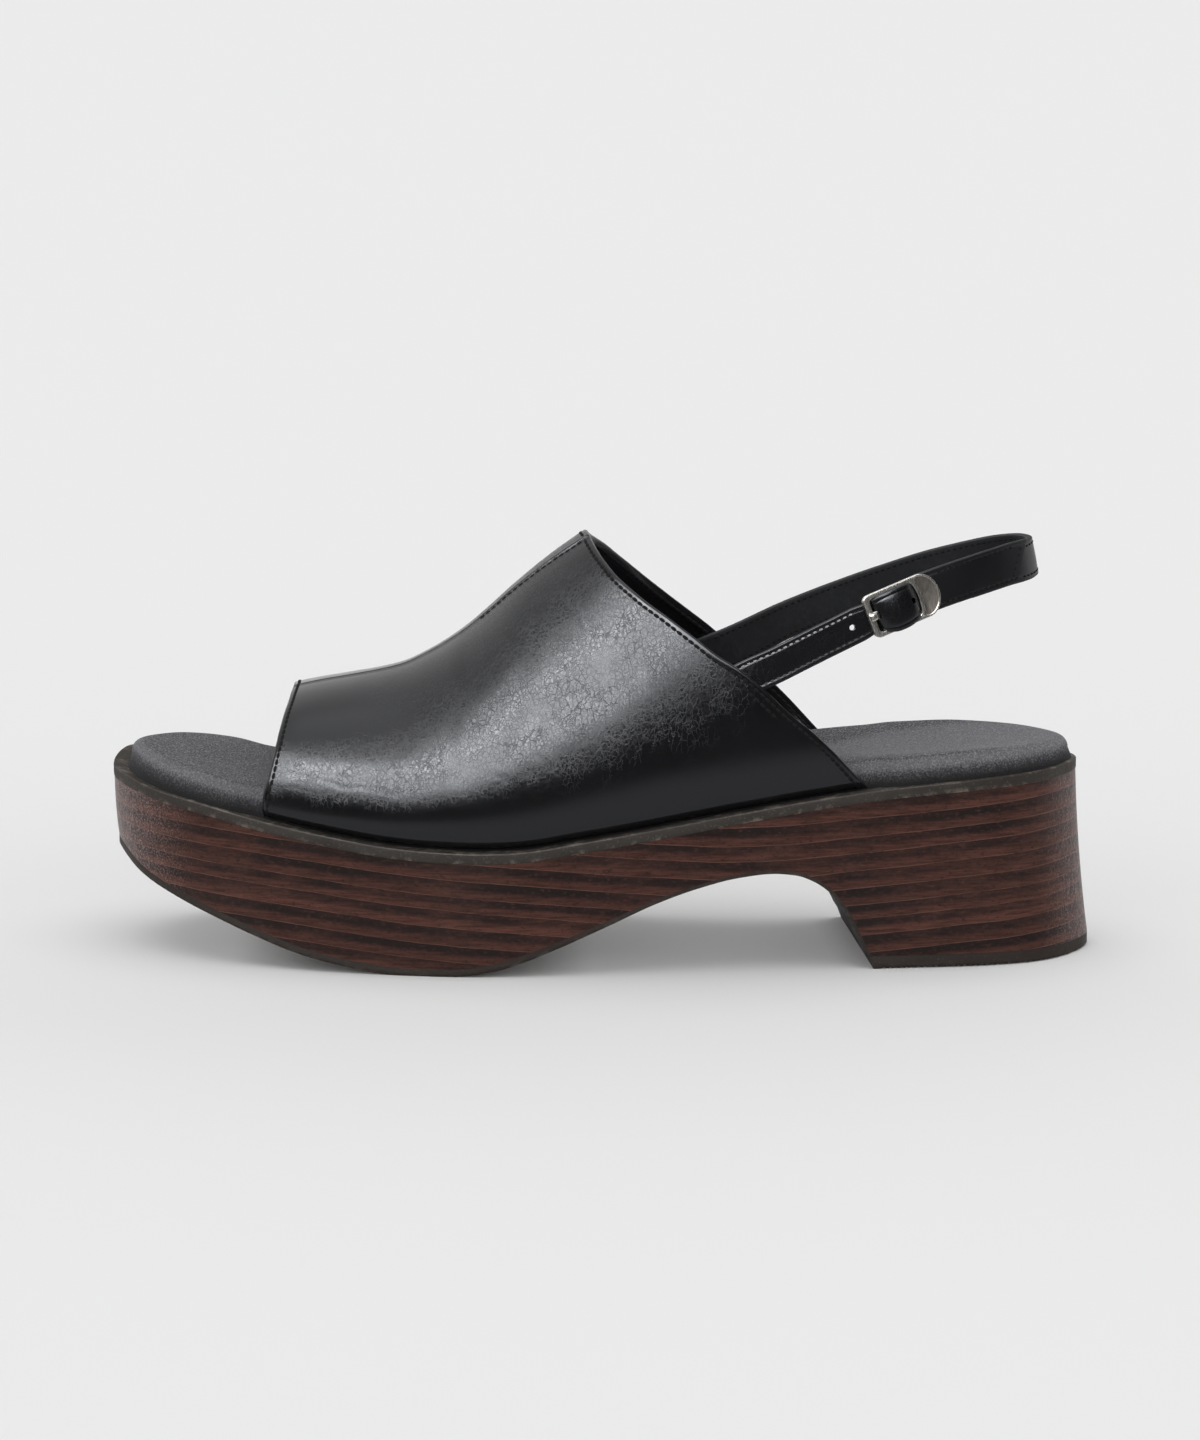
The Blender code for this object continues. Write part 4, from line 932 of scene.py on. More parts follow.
def plateLoops():
    w, r = buckle["halfWidth"], buckle["corner"]
    left, nose = buckle["left"] + r, buckle["right"] - buckle["nose"]
    edge = arcPoints((left, w - r), (r, r), 90, 180, 10) + arcPoints((left, r - w), (r, r), 180, 270, 10)
    edge += arcPoints((nose, 0), (buckle["nose"], w), -90, 90, 40)
    v, r = w - buckle["rail"], buckle["windowCorner"]
    left, right = buckle["windowLeft"] + r, buckle["windowRight"] - r
    window = arcPoints((left, v - r), (r, r), 90, 180, 8) + arcPoints((left, r - v), (r, r), 180, 270, 8)
    window += arcPoints((right, r - v), (r, r), 270, 345, 8)
    for y in np.linspace(-0.72, 0.72, 9):
        window.append((buckle["windowRight"] + buckle["hollow"] * (1 - y * y), y * (v - 0.4)))
    window += arcPoints((right, v - r), (r, r), 15, 90, 8)
    m = buckle["rimWidth"]
    field = arcPoints((nose, 0), (buckle["nose"] - m, w - m), -90, 90, 36)
    inside = buckle["windowRight"] + 0.9
    field += [(inside + buckle["hollow"] * (1 - y * y), y * (w - m - 0.35)) for y in np.linspace(1, -1, 13)]
    return edge, window, field


def prism(name, loop, low, high):        # flat outline raised to a solid
    obj = addShape("circle", vertices=len(loop), fill_type="NGON", radius=mm)
    obj.name = obj.data.name = name
    writePoints(obj, [(x * mm, y * mm, low * mm) for x, y in loop])
    raised = {"TRANSFORM_OT_translate": {"value": (0, 0, (high - low) * mm)}}
    editMesh(obj, (bpy.ops.mesh.extrude_region_move, raised), facesOutward)
    return obj


def squared(wave):               # fuller than a circle
    return np.sign(wave) * np.abs(wave) ** buckle["square"]


def makeFrame():
    edge, window, field = plateLoops()
    bottom, top, sunk = buckle["bottom"], buckle["top"], buckle["top"] - buckle["recess"]
    plate = prism("buckleFrame", edge, bottom, top)
    cutAway(plate, prism("windowTool", window, bottom - 1, top + 1))
    cutAway(plate, prism("fieldTool", field, sunk, top + 1))
    applyModifier(plate, "BEVEL", width=buckle["arris"] * mm, segments=3, limit_method="ANGLE",
                  angle_limit=radians(50))
    reach, foot, middle = buckle["postOut"], buckle["postFoot"], (bottom + top) / 2
    size = (2 * buckle["post"][0] * mm, 2 * buckle["post"][1] * mm, (middle - foot) * mm)
    bits = []
    for side in (lateral, medial):
        post = addShape("cube", size, size=1, location=(0, side * reach * mm, (middle + foot) / 2 * mm))
        applyModifier(post, "BEVEL", width=buckle["postArris"] * mm, segments=3)
        bits.append(post)
    bar = addShape("cylinder", vertices=28, radius=buckle["bar"] * mm, depth=2 * reach * mm,
                   rotation=(pi / 2, 0, 0))
    applyModifier(bar, "BEVEL", width=buckle["barArris"] * mm, segments=2)
    joinTo(plate, bits + [bar])
    local = readPoints(plate) / mm
    inField = (np.abs(local[:, 2] - sunk) < 0.05) & (local[:, 0] > buckle["fieldFrom"])
    paint(plate, "recess", inField.astype(float))
    placeAt(plate, frameAt(0.0))
    return finishPiece(plate, "buckle_metal", "buckle_frame", angle=40)


def makeProng():
    around = np.linspace(0, 2 * pi, 16, endpoint=False)
    rings = []
    for x, z, half in evenly(roundCurve(buckle["prong"], 6, False), 0.3):
        across = buckle["prongWidth"] / 2 * squared(np.cos(around)) * (0.75 + 0.25 * min(1.0, half / 0.45))
        rings.append(np.column_stack([0 * around + x, across, z + half * squared(np.sin(around))]) * mm)
    prong = loftTube("buckleProng", np.array(rings))
    radius, thick = buckle["eye"]
    eye = addShape("torus", (1, buckle["eyeWidth"], 1), major_radius=radius * mm, minor_radius=thick * mm,
                   major_segments=32, minor_segments=14, rotation=(pi / 2, 0, 0))
    joinTo(prong, [eye])
    paint(prong, "recess", np.zeros(len(prong.data.vertices)))
    placeAt(prong, frameAt(0.0))
    return finishPiece(prong, "buckle_metal", "buckle_prong", angle=45)


# stitches: one modelled stitch, copied along each row

stitch = {
    "length": 1.9, "width": 0.9, "height": 0.48, "pitch": 1.88, "lift": 0.02,
    "seamRun": (96.0, 122.5, 80), "rootHeights": {lateral: (65.0, 74.5), medial: (66.0, 76.0)},
}
strapStitch = {
    "length": 1.0, "width": 0.5, "height": 0.36, "pitch": 1.7, "lift": 0.02,
    "heelFrom": 13.0, "heelEnd": 0.8, "lapFrom": 1.6, "lapEnd": 11.6, "billetFrom": -10.6, "billetEnd": 15.5,
    # last pair: how pale the billet's stitch rows are painted, a painted highlight, and how much paler the
    # upper row is
    "crossHalf": 3.9, "crossCount": 9, "crossIn": 1.5, "paintedGlint": (0.55, 0.35),
}


def oneStitch():                 # short capsule that dips into its holes at both ends
    obj = addShape("uv_sphere", segments=8, ring_count=6, radius=0.5, rotation=(0, pi / 2, 0))
    shape = readPoints(obj)
    shape[:, 0] = np.sign(shape[:, 0]) * np.abs(2 * shape[:, 0]) ** 0.7 / 2
    shape[:, 2] -= 0.9 * shape[:, 0] ** 2
    faces = [tuple(p.vertices) for p in obj.data.polygons]
    bpy.data.objects.remove(obj)
    return shape, faces


def sewRows(name, rows, sizes, bright=None):     # bright: rows given a painted highlight, a pale thread colour
    shape, faces = oneStitch()
    local = shape * (sizes["length"], sizes["width"], sizes["height"]) * mm
    points, polygons, paintedGlints = [], [], []
    for number, row in enumerate(rows):
        line = evenly(row, sizes["pitch"] * mm)
        middle = (line[1:] + line[:-1]) / 2
        along = unit(line[1:, :3] - line[:-1, :3])
        out = unit(middle[:, 3:6])
        out = unit(out - along * np.sum(out * along, 1)[:, None])
        for centre, a, s, o in zip(middle[:, :3], along, np.cross(out, along), out):
            base = len(points) * len(shape)
            up = (local[:, 2:] + sizes["lift"] * mm) * o
            points.append(centre + local[:, :1] * a + local[:, 1:2] * s + up)
            paintedGlints.append(np.full(len(shape), (bright or {}).get(number, 0.0)))
            polygons += [tuple(base + k for k in face) for face in faces]
    mesh = bpy.data.meshes.new(name)
    mesh.from_pydata(np.vstack(points).tolist(), [], polygons)
    obj = bpy.data.objects.new(name, mesh)
    bpy.context.scene.collection.objects.link(obj)
    editMesh(obj, facesOutward)
    paint(obj, "paintedGlint", np.concatenate(paintedGlints))
    return finishPiece(obj, "black_leather", angle=80)


def sewUpper(sewn):
    seam = []
    for s in np.linspace(*stitch["seamRun"]):
        share = seamShare(s) - upper["seamStitch"] / halfSection(lateral, s)[2][-1]
        here, ahead, below = (np.array([at, *wallPoint(lateral, at, part)]) for at, part in
                              ((s, share), (s + 0.5, share), (s, share - 0.005)))
        out = np.cross(ahead - here, here - below)
        seam.append(np.concatenate([toWorld(here), out / np.linalg.norm(out) * np.sign(out[2])]))
    rows = [sewn[name] for name in ("rear", "rearInside", "toe", "toeInside")] + [np.array(seam)]
    for name in ("root", "rootInside"):      # second row that holds each strap root
        shoe = toShoe(sewn[name][:, :3])
        for side, (low, high) in stitch["rootHeights"].items():
            on = (shoe[:, 1] * side > 0) & (shoe[:, 2] > low) & (shoe[:, 2] < high)
            rows.append(sewn[name][on])
    return sewRows("upperStitches", rows, stitch)


def sewStraps(rows):
    lines, bright = [], {}
    plain, more = strapStitch["paintedGlint"]
    lapEnd, last = straps["lapEnd"], barArc - slingArc[-1]
    for upside in (1, -1):
        for face in (1, -1):
            lines.append(strapRow(rows["heel"], sling["heelThick"], barArc - strapStitch["heelFrom"],
                                  lapEnd + strapStitch["heelEnd"], upside, face))
        lines.append(strapRow(rows["buckle"], straps["buckleThick"], lapEnd - strapStitch["lapFrom"],
                              strapStitch["lapEnd"], upside))
        # painted highlight on the billet's rows, paler on the upper edge
        bright[len(lines)] = plain + more * upside
        lines.append(strapRow(rows["billet"], straps["billetThick"], strapStitch["billetFrom"],
                              last + strapStitch["billetEnd"], upside))
    half, count = strapStitch["crossHalf"], strapStitch["crossCount"]
    across = np.linspace(-half, half, count)
    place = lapEnd - strapStitch["crossIn"] + straps["lapSlant"] * across / (straps["buckleWidth"] / 2)
    height = np.full(count, straps["outerLayer"][0][1] + straps["buckleThick"] / 2)
    lines.append(withNormals(place, height, across, (place, height + 1)))
    return sewRows("strapStitches", lines, strapStitch, bright)


# materials

shading = {"tree": None}         # the node tree that is being filled


def wire(node, values):          # set inputs with plain values or from other nodes
    for key, value in values.items():
        socket = node.inputs[key.replace("_", " ") if isinstance(key, str) else key]
        if isinstance(value, bpy.types.NodeSocket):
            shading["tree"].links.new(value, socket)
        else:
            socket.default_value = value
    return node


def addNode(kind, wires=None, **settings):
    node = shading["tree"].nodes.new("ShaderNode" + kind)
    for key, value in settings.items():
        setattr(node, key, value)
    return wire(node, wires or {})


def calc(operation, a, b=0.0):
    return addNode("Math", {0: a, 1: b}, operation=operation).outputs[0]


def times(a, b):
    return calc("MULTIPLY", a, b)


def plus(a, b):
    return calc("ADD", a, b)


def vectorCalc(operation, vector, **wires):
    return addNode("VectorMath", {0: vector, **wires}, operation=operation).outputs[0]


def noiseOf(vector, scale, detail=3.0, rough=0.55, output=0):
    wires = {"Vector": vector, "Scale": scale, "Detail": detail, "Roughness": rough}
    return addNode("TexNoise", wires).outputs[output]


def spread(value, low, high, first=0.0, last=1.0, kind="SMOOTHSTEP"):
    wires = {"Value": value, "From Min": low, "From Max": high, "To Min": first, "To Max": last}
    return addNode("MapRange", wires, interpolation_type=kind).outputs[0]


def mixColour(factor, a, b):     # plain colours are red, green, blue
    a, b = (c if isinstance(c, bpy.types.NodeSocket) else (*c, 1) for c in (a, b))
    return addNode("Mix", {0: factor, 6: a, 7: b}, data_type="RGBA").outputs[2]


def stretched(vector, scale, turn=(0, 0, 0)):
    return addNode("Mapping", {"Vector": vector, "Scale": scale, "Rotation": turn}).outputs[0]


def pointValue(name):
    return addNode("Attribute", attribute_name=name).outputs["Fac"]


def newMaterial(name, **values):
    made = bpy.data.materials.new(name)
    made.use_nodes = True
    shading["tree"] = made.node_tree
    shader = wire(made.node_tree.nodes["Principled BSDF"], values)
    return made, shader, addNode("TexCoord").outputs["Object"]


def finishMaterial(made, shader, height, distance, **values):
    bump = addNode("Bump", {"Height": height, "Distance": distance, "Strength": 1.0})
    wire(shader, {"Normal": bump.outputs[0], **values})
    return made


def newGroup(name, entries, results):        # a vector and floats in, floats out
    group = bpy.data.node_groups.new(name, "ShaderNodeTree")
    for labels, way in ((["Vector"] + entries, "INPUT"), (results, "OUTPUT")):
        for label in labels:
            kind = "NodeSocketVector" if label == "Vector" else "NodeSocketFloat"
            group.interface.new_socket(name=label, in_out=way, socket_type=kind)
    shading["tree"] = group
    return group, group.nodes.new("NodeGroupInput").outputs, group.nodes.new("NodeGroupOutput")


def useGroup(group, **wires):
    return addNode("Group", wires, node_tree=group).outputs


leather = {
    "shake": (800.0, 0.0017),    # fineness and reach of the unevenness of the cracks
    "fade": (0.36, 0.6), "crackRough": 0.36, "tone": 38.0,
    "nets": [          # fine cracks: density, stretch, turn, line width, depth, least share, patch fineness
        (1.0, (1.5, 1.5, 0.5), (0.0, 0.15, 0.0), 0.045, 0.9, 0.3, 120.0),
        (1.9, (1.2, 1.2, 0.75), (0.4, 0.2, 0.3), 0.075, 0.6, 0.55, 190.0),
        (2.9, (1.1, 1.1, 0.9), (0.2, 0.0, 0.6), 0.11, 0.36, 0.8, 240.0)],
    "kinds": {         # cracks per metre, depth, roughness, duller at the edge
        "blackVampLeather": (410.0, 0.000036, 0.17, 0.12),
        "blackStrapLeather": (400.0, 0.00003, 0.3, 0.5),
        "blackBilletLeather": (400.0, 0.00003, 0.2, 0.5)},
}


def hideGrainGroup():            # cracks, pebble and soft wrinkles of smooth leather
    group, given, out = newGroup("hideGrain", ["Lines", "Crease", "Pebble", "Wrinkle"],
                                 ["Height", "Creases", "Tone"])
    vector = given["Vector"]
    fine, reach = leather["shake"]
    shake = noiseOf(vector, fine, 3.0, 0.65, "Color")
    shake = addNode("VectorMath", {0: shake, 1: (0.5, 0.5, 0.5)}, operation="SUBTRACT").outputs[0]
    shake = vectorCalc("SCALE", shake, Scale=reach)
    uneven = addNode("VectorMath", {0: vector, 1: shake}).outputs[0]
    creases = None
    for dense, scale, turn, width, share, least, patch in leather["nets"]:
        wires = {"Vector": stretched(uneven, scale, turn), "Scale": times(given["Lines"], dense)}
        net = addNode("TexVoronoi", wires, feature="DISTANCE_TO_EDGE").outputs["Distance"]
        fade = spread(noiseOf(vector, patch, 2.0), *leather["fade"], least, 1.0)
        line = times(times(spread(net, 0.0, width, 1.0, 0.0), fade), share)
        creases = line if creases is None else calc("MAXIMUM", creases, line)
    pebble = noiseOf(stretched(vector, (1.3, 1.3, 0.9)), 2000.0, 2.0, 0.6)
    wrinkle = noiseOf(stretched(vector, (1.7, 1.7, 0.7), (0, 0.2, 0)), 330.0, 3.0)
    height = times(creases, times(given["Crease"], -1.0))
    height = plus(height, times(pebble, times(given["Pebble"], -1.0)))
    height = plus(height, times(wrinkle, given["Wrinkle"]))
    wire(out, {"Height": height, "Creases": creases, "Tone": noiseOf(vector, leather["tone"], 4.0)})
    return group


def wearGroup():                 # broken-up wear along edges, dust and specks
    group, given, out = newGroup("edgeWear", ["Edge", "Scale", "Amount"], ["Wear", "Dust", "Speck"])
    vector = given["Vector"]
    broken = noiseOf(vector, given["Scale"], 4.0, 0.65)
    worn = times(given["Edge"], spread(broken, 0.48, 0.7))
    speck = addNode("TexWhiteNoise", {"Vector": vectorCalc("SCALE", vector, Scale=4200.0)}).outputs["Value"]
    cell = addNode("TexVoronoi", {"Vector": vector, "Scale": 900.0}).outputs["Distance"]
    wire(out, {"Wear": times(worn, given["Amount"]), "Dust": noiseOf(vector, 55.0, 5.0, 0.6),
               "Speck": times(speck, spread(cell, 0.12, 0.3, 1.0, 0.0))})
    return group


hideGrain = hideGrainGroup()
edgeWear = wearGroup()


def leatherMaterial(name):
    lines, depth, rough, dullEdge = leather["kinds"][name]
    made, shader, place = newMaterial(name, IOR=1.42, Specular_Tint=(0.93, 0.955, 1, 1))
    flex, edge = pointValue("flex"), pointValue("edge")
    grain = useGroup(hideGrain, Vector=place, Lines=lines, Crease=flex,
                     Pebble=spread(flex, 0.0, 0.6, 0.22, 0.5), Wrinkle=spread(flex, 0.0, 1.0, 0.3, 0.65))
    wear = useGroup(edgeWear, Vector=place, Edge=edge, Scale=420.0, Amount=0.35)
    cracks = times(grain["Creases"], flex)
    base = mixColour(grain["Tone"], (0.003, 0.003, 0.0035), (0.0048, 0.0048, 0.0056))
    # painted shade: the cracks are coloured a little darker
    base = mixColour(cracks, base, (0.002, 0.002, 0.0022))
    base = mixColour(wear["Wear"], base, (0.05, 0.05, 0.053))
    dull = plus(times(cracks, leather["crackRough"]), times(edge, dullEdge))
    even = spread(grain["Tone"], 0.2, 0.8, rough - 0.04, rough + 0.06, "LINEAR")
    return finishMaterial(made, shader, grain["Height"], depth, Base_Color=base, Roughness=plus(even, dull))


def edgeMaterial():              # matt paint on the cut edge of the upper
    made, shader, place = newMaterial("blackEdgePaint", Roughness=0.75, Specular_IOR_Level=0.12)
    fine = noiseOf(place, 700.0, 4.0, 0.6)
    base = mixColour(fine, (0.003, 0.003, 0.003), (0.009, 0.009, 0.0095))
    return finishMaterial(made, shader, fine, 0.0001, Base_Color=base)


def liningMaterial():
    made, shader, place = newMaterial("blackLining", IOR=1.42)
    fine = noiseOf(place, 900.0, 3.0)
    base = mixColour(noiseOf(place, 60.0), (0.009, 0.0088, 0.0085), (0.016, 0.0155, 0.015))
    rough = spread(fine, 0.3, 0.7, 0.5, 0.68)
    return finishMaterial(made, shader, fine, 0.00012, Base_Color=base, Roughness=rough)


def threadMaterial():
    made, shader, place = newMaterial("blackThread", Roughness=0.8, Specular_IOR_Level=0.1)
    twist = addNode("TexWave", {"Vector": place, "Scale": 900.0, "Distortion": 2.0}).outputs["Fac"]
    base = mixColour(twist, (0.003, 0.003, 0.003), (0.009, 0.009, 0.0095))
    # painted highlight: rows marked as glints get a pale thread colour
    base = mixColour(pointValue("paintedGlint"), base, (0.42, 0.41, 0.4))
    return finishMaterial(made, shader, twist, 0.00008, Base_Color=base)


def suedeMaterial():
    made, shader, place = newMaterial("charcoalSuede", Roughness=0.95, Sheen_Weight=0.08, Sheen_Roughness=0.4,
                                      Sheen_Tint=(0.75, 0.77, 0.85, 1), Specular_IOR_Level=0.15)
    nap = noiseOf(stretched(place, (1.0, 0.5, 1.0)), 2100.0, 3.0, 0.8)
    roll = pointValue("roll")
    calm = spread(roll, 0.0, 0.7, 0.68, 0.5)
    mottle = noiseOf(place, 70.0, 5.0, 0.6)
    # painted highlight: a paler line where the top turns into the rolled edge
    paintedShoulderHighlight = times(spread(roll, 0.0, 0.08), spread(roll, 0.25, 0.6, 1.0, 0.0))
    base = mixColour(spread(mottle, 0.3, 0.7), (0.057, 0.056, 0.0606), (0.076, 0.0748, 0.0808))
    base = mixColour(times(spread(nap, 0.5, 0.64), calm), base, (0.26, 0.256, 0.273))
    base = mixColour(times(spread(nap, 0.5, 0.4), calm), base, (0.008, 0.008, 0.009))
    base = mixColour(times(paintedShoulderHighlight, 0.36), base, (0.2, 0.198, 0.21))
    # painted shade: the rolled side darkens towards the bottom, nearly to black
    base = mixColour(spread(roll, 0.35, 0.95, 0.0, 0.96), base, (0.003, 0.003, 0.0035))
    return finishMaterial(made, shader, plus(nap, times(mottle, 0.5)), 0.00016, Base_Color=base)


def rubberMaterial(name, dark, pale, fleck):
    made, shader, place = newMaterial(name, Specular_IOR_Level=0.2)
    wear = useGroup(edgeWear, Vector=place, Edge=pointValue("edge"), Scale=260.0, Amount=0.9)
    fine = noiseOf(place, 1100.0, 3.0, 0.6)
    base = mixColour(wear["Dust"], dark, pale)
    base = mixColour(wear["Wear"], base, fleck)
    base = mixColour(times(wear["Speck"], 0.35), base, fleck)
    # painted shade: the outsole turns near black on the heel breast
    base = mixColour(times(pointValue("paintedBreastShade"), 0.8), base, (0.006, 0.005, 0.0045))
    rough = spread(wear["Dust"], 0.3, 0.7, 0.48, 0.68)
    height = plus(fine, times(wear["Dust"], 1.5))
    return finishMaterial(made, shader, height, 0.00012, Base_Color=base, Roughness=rough)


def blockMaterial():
    made, shader, place = newMaterial("stackedLayers", Coat_Roughness=0.3, Specular_IOR_Level=0.12)
    ends = pointValue("ends")
    sway = times(calc("SUBTRACT", noiseOf(stretched(place, (0.35, 0.35, 1)), 130.0, 3.0), 0.5), 0.16)
    layer = plus(pointValue("layer"), sway)
    within = calc("FRACT", layer)
    tint = addNode("TexWhiteNoise", {"W": calc("FLOOR", layer)}, noise_dimensions="1D").outputs["Value"]
    grain = noiseOf(stretched(place, (0.08, 0.08, 1.0), (0, 0.05, 0)), 1500.0, 4.0, 0.6)
    pores = noiseOf(stretched(place, (0.5, 0.5, 1.0)), 1400.0, 3.0, 0.7)
    cloud = noiseOf(place, 42.0, 4.0)
    patch = noiseOf(stretched(place, (0.3, 0.3, 1.0)), 90.0, 4.0, 0.6)
    broken = spread(noiseOf(place, 95.0, 3.0), 0.34, 0.6, 0.15, 1.0)
    line = times(spread(within, 0.0, 0.085, 1.0, 0.0), broken)           # pale joint between layers
    dark = times(spread(within, 0.3, 0.66), spread(patch, 0.34, 0.6, 0.4, 1.0))
    # painted sheen: pale warm specks on both ends of the block stand in for their satin gloss
    paintedSheen = times(spread(noiseOf(place, 2100.0, 2.0, 0.7), 0.5, 0.66), ends)
    base = mixColour(spread(grain, 0.3, 0.7), (0.040, 0.0153, 0.0112), (0.094, 0.0362, 0.0258))
    base = mixColour(times(tint, 0.45), base, (0.031, 0.0128, 0.0098))
    base = mixColour(times(dark, 0.9), base, (0.0098, 0.0066, 0.0062))
    base = mixColour(spread(pores, 0.54, 0.7, 0.0, 0.6), base, (0.009, 0.0045, 0.004))
    base = mixColour(spread(pores, 0.46, 0.3, 0.0, 0.4), base, (0.098, 0.049, 0.040))
    base = mixColour(times(line, 0.8), base, (0.13, 0.059, 0.043))
    base = mixColour(times(paintedSheen, 0.62), base, (0.4, 0.215, 0.185))
    rough = plus(spread(pores, 0.3, 0.7, 0.26, 0.42), times(ends, 0.1))
    coat = plus(spread(cloud, 0.4, 0.7, 0.0, 0.06), times(ends, 0.4))
    knobbly = times(noiseOf(place, 620.0, 3.0, 0.6), plus(times(ends, 2.2), 0.3))
    height = calc("SUBTRACT", plus(times(pores, 0.5), knobbly), times(line, 0.5))
    return finishMaterial(made, shader, height, 0.00022, Base_Color=base, Roughness=rough, Coat_Weight=coat)


def metalMaterial():
    made, shader, place = newMaterial("agedNickel", Metallic=1.0)
    brush = noiseOf(stretched(place, (1.0, 1.0, 0.12), (0, 0.5, 0)), 3800.0, 3.0, 0.6)
    stain = noiseOf(place, 420.0, 4.0, 0.6)
    sunk = pointValue("recess")
    base = mixColour(stain, (0.5, 0.48, 0.44), (0.72, 0.70, 0.66))
    dark = mixColour(spread(brush, 0.35, 0.7), (0.15, 0.135, 0.12), (0.2, 0.185, 0.17))
    base = mixColour(sunk, base, dark)
    rough = plus(spread(brush, 0.3, 0.7, 0.24, 0.32), times(sunk, 0.16))
    return finishMaterial(made, shader, brush, 0.000006, Base_Color=base, Roughness=rough)


# build everything

platformBlock = makeBlock()
midsole = makeMidsole()
outsolePiece = makeOutsole()
heelTopPiece = makeTopPiece()
insolePiece = makeInsole()
print("sole built")
upperPiece, sewn = makeUpper()
print("upper built")
heelStrap, buckleStrap, billetStrap, strapRows = makeStraps()
print("straps built")
buckleFrame, buckleProng = makeFrame(), makeProng()
print("buckle built")
upperStitches = sewUpper(sewn)
strapStitches = sewStraps(strapRows)
print("stitches sewn")

strapLeather, metal, thread = leatherMaterial("blackStrapLeather"), metalMaterial(), threadMaterial()
soleRubber = rubberMaterial("taupeSoleRubber", (0.0178, 0.0116, 0.0087), (0.0265, 0.0182, 0.0142),
                            (0.07, 0.058, 0.048))
# the rim's pale fleck colour paints its rubbed edges and, along them, painted highlight glints
rimRubber = rubberMaterial("taupeRimRubber", (0.0205, 0.0158, 0.012), (0.030, 0.024, 0.019),
                           (0.15, 0.126, 0.104))
dress(platformBlock, blockMaterial())
dress(midsole, rimRubber)
dress(insolePiece, suedeMaterial())
dress(upperPiece, leatherMaterial("blackVampLeather"), liningMaterial(), edgeMaterial())
dress(billetStrap, leatherMaterial("blackBilletLeather"))
for pieces, material in (((outsolePiece, heelTopPiece), soleRubber), ((heelStrap, buckleStrap), strapLeather),
                         ((buckleFrame, buckleProng), metal), ((upperStitches, strapStitches), thread)):
    for piece in pieces:
        dress(piece, material)
print("materials set")


# floor, light and camera

studio = {
    "floor": 0.83, "fill": 0.08, "band": 2.1,
    "overhead": 1.09, "overheadAngle": 70.0, "even": 0.36, "sunHeight": 2.0,
    "keyTurns": (-57.0, -27.0, 3.0), "keyRise": 39.5, "keyFar": 1.5, "keyWide": 0.8, "keyTall": 0.86,
    "keyPower": 24.5, "keyAim": 0.06,
    "dim": 0.03, "back": 0.9, "above": 1.6,      # what gloss sees besides the softbox and the floor
    # painted contact shadow: its reach and its colour on the floor
    "contact": 0.012, "paintedContactShadow": (0.2, 0.195, 0.19),
    "floorSize": 60,
    "nearFloor": (-0.26, -0.12, 0.85), "nearDark": (0.02, 0.02, 0.02),         # what gloss sees in front
}
photoCamera = {"sensor": 36.0, "lens": 131.8, "place": (0, -1.34875, 0.288), "tilt": 9.66, "clipEnd": 100}


def makeFloor():
    floor = addShape("plane", size=studio["floorSize"])
    floor.name = "floor"
    made, shader, place = newMaterial("paleFloor", Roughness=1.0, Specular_IOR_Level=0.0)
    near = spread(addNode("SeparateXYZ", {0: place}).outputs["Y"], *studio["nearFloor"], 0.0)
    mirrored = times(addNode("LightPath").outputs["Is Glossy Ray"], near)
    # painted shadow: the floor darkens where the shoe closes it in, near the contact
    free = addNode("AmbientOcclusion", {"Distance": studio["contact"]}, samples=2).outputs["AO"]
    pale = mixColour(spread(free, 0.1, 0.5), studio["paintedContactShadow"], (studio["floor"],) * 3)
    wire(shader, {"Base Color": mixColour(mirrored, pale, studio["nearDark"])})
    dress(floor, made)


def addLight(name, kind, energy, place, target, **values):
    data = bpy.data.lights.new(name, kind)
    data.energy = energy
    for key, value in values.items():
        setattr(data, key, value)
    lamp = bpy.data.objects.new(name, data)
    lamp.location = place
    lamp.rotation_euler = (Vector(target) - Vector(place)).to_track_quat("-Z", "Y").to_euler()
    bpy.context.scene.collection.objects.link(lamp)
    return lamp


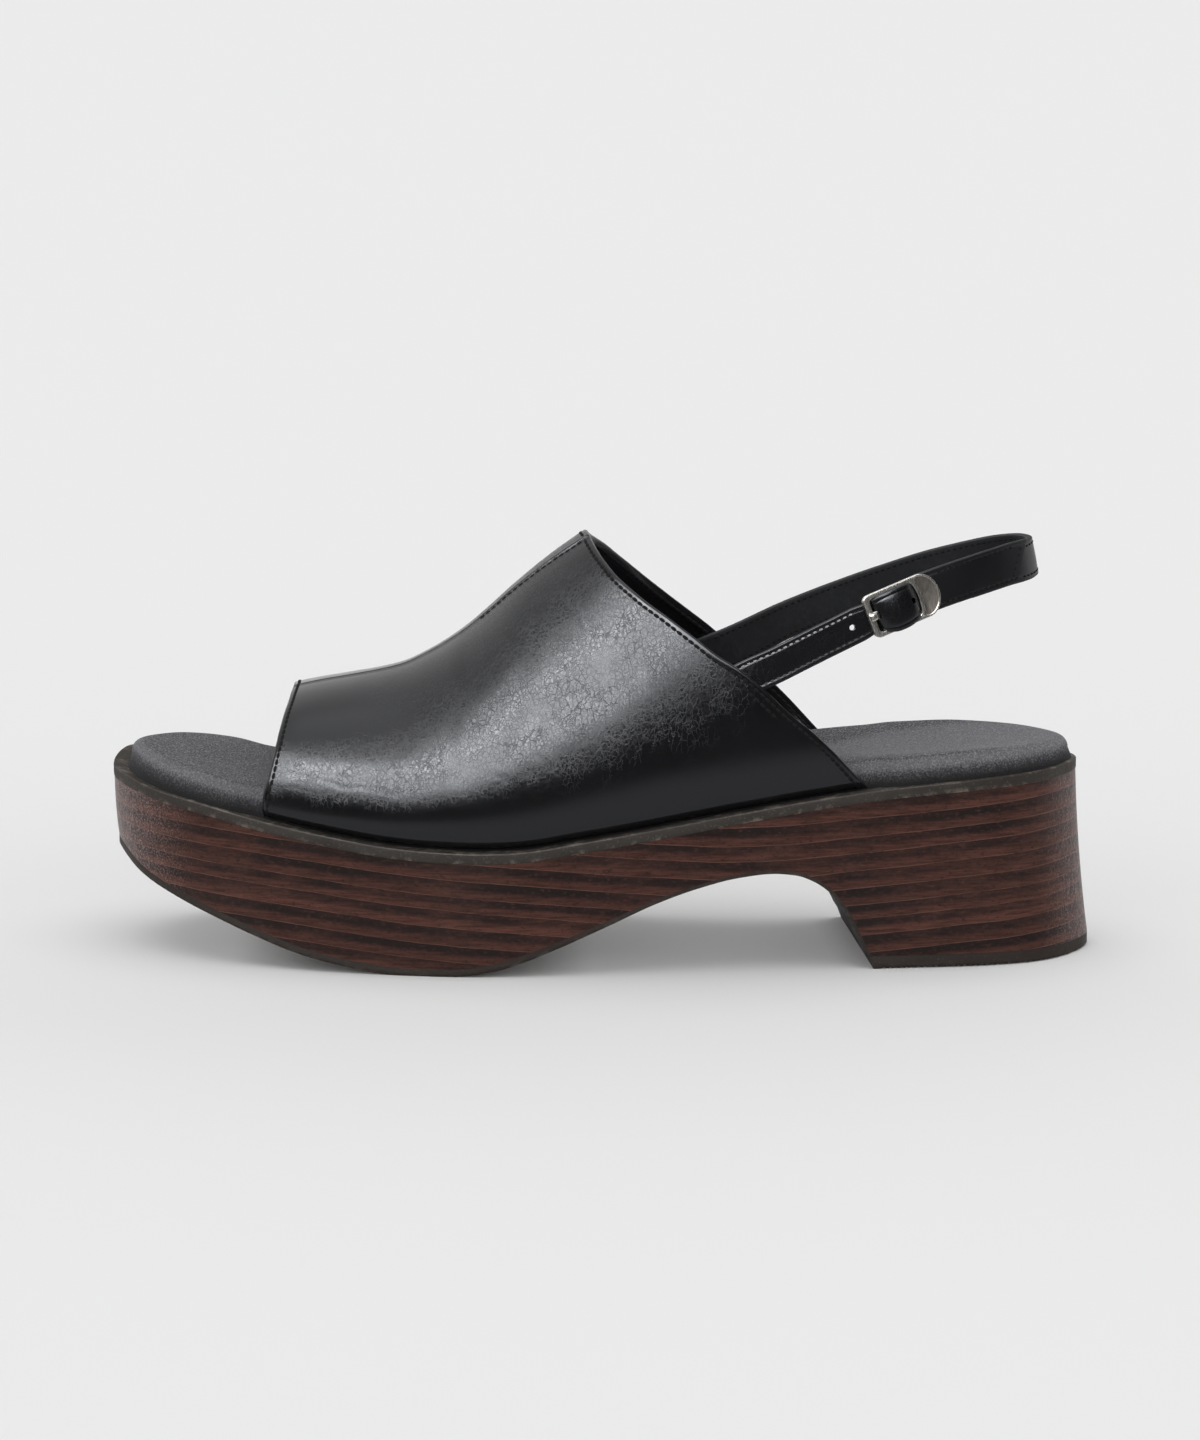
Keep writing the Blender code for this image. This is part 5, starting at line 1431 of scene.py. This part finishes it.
def makeWorld():
    world = bpy.data.worlds.new("studio")
    bpy.context.scene.world = world
    world.use_nodes = True
    shading["tree"] = world.node_tree
    path = addNode("LightPath").outputs
    greys = ((studio[key],) * 3 for key in ("dim", "back", "above", "band", "fill", "floor"))
    dim, back, above, band, fill, floor = greys
    way = addNode("SeparateXYZ", {0: addNode("TexCoord").outputs["Generated"]}).outputs
    room = mixColour(spread(way["Y"], -0.25, 0.25), dim, back)
    room = mixColour(spread(way["Z"], 0.8, 0.95), room, above)
    around = mixColour(spread(way["Z"], 0.35, 0.6), band, fill)
    seen = mixColour(path["Is Camera Ray"], around, floor)
    wire(world.node_tree.nodes["Background"], {"Color": mixColour(path["Is Glossy Ray"], seen, room)})


def makeLight():
    sky, aim = (0.0, 0.0, studio["sunHeight"]), studio["keyAim"]
    overhead = addLight("overhead", "SUN", studio["overhead"], sky, (0, 0, 0),
                        angle=radians(studio["overheadAngle"]))
    even = addLight("evenLight", "SUN", studio["even"], sky, (0, 0, 0), use_shadow=False)
    for lamp in (overhead, even):
        lamp.visible_glossy = False
    for number, turn in enumerate(studio["keyTurns"]):       # softbox in three leaves, for the gloss alone
        side, rise, far = radians(turn), radians(studio["keyRise"]), studio["keyFar"]
        spot = (far * sin(side) * cos(rise), -far * cos(side) * cos(rise), aim + far * sin(rise))
        leaf = addLight("softbox%d" % number, "AREA", studio["keyPower"], spot, (0, 0, aim),
                        shape="RECTANGLE", size=studio["keyWide"], size_y=studio["keyTall"])
        leaf.visible_camera = False
        leaf.visible_diffuse = False


def makeCamera():
    data = bpy.data.cameras.new("photoCamera")
    data.sensor_fit = "VERTICAL"
    data.sensor_height = photoCamera["sensor"]
    data.lens = photoCamera["lens"]
    data.clip_end = photoCamera["clipEnd"]
    camera = bpy.data.objects.new("photoCamera", data)
    camera.location = photoCamera["place"]
    camera.rotation_euler = (radians(90 - photoCamera["tilt"]), 0, 0)
    bpy.context.scene.collection.objects.link(camera)
    bpy.context.scene.camera = camera


makeFloor()
makeWorld()
makeLight()
makeCamera()
bpy.context.scene.view_settings.view_transform = "Standard"
print("studio set")
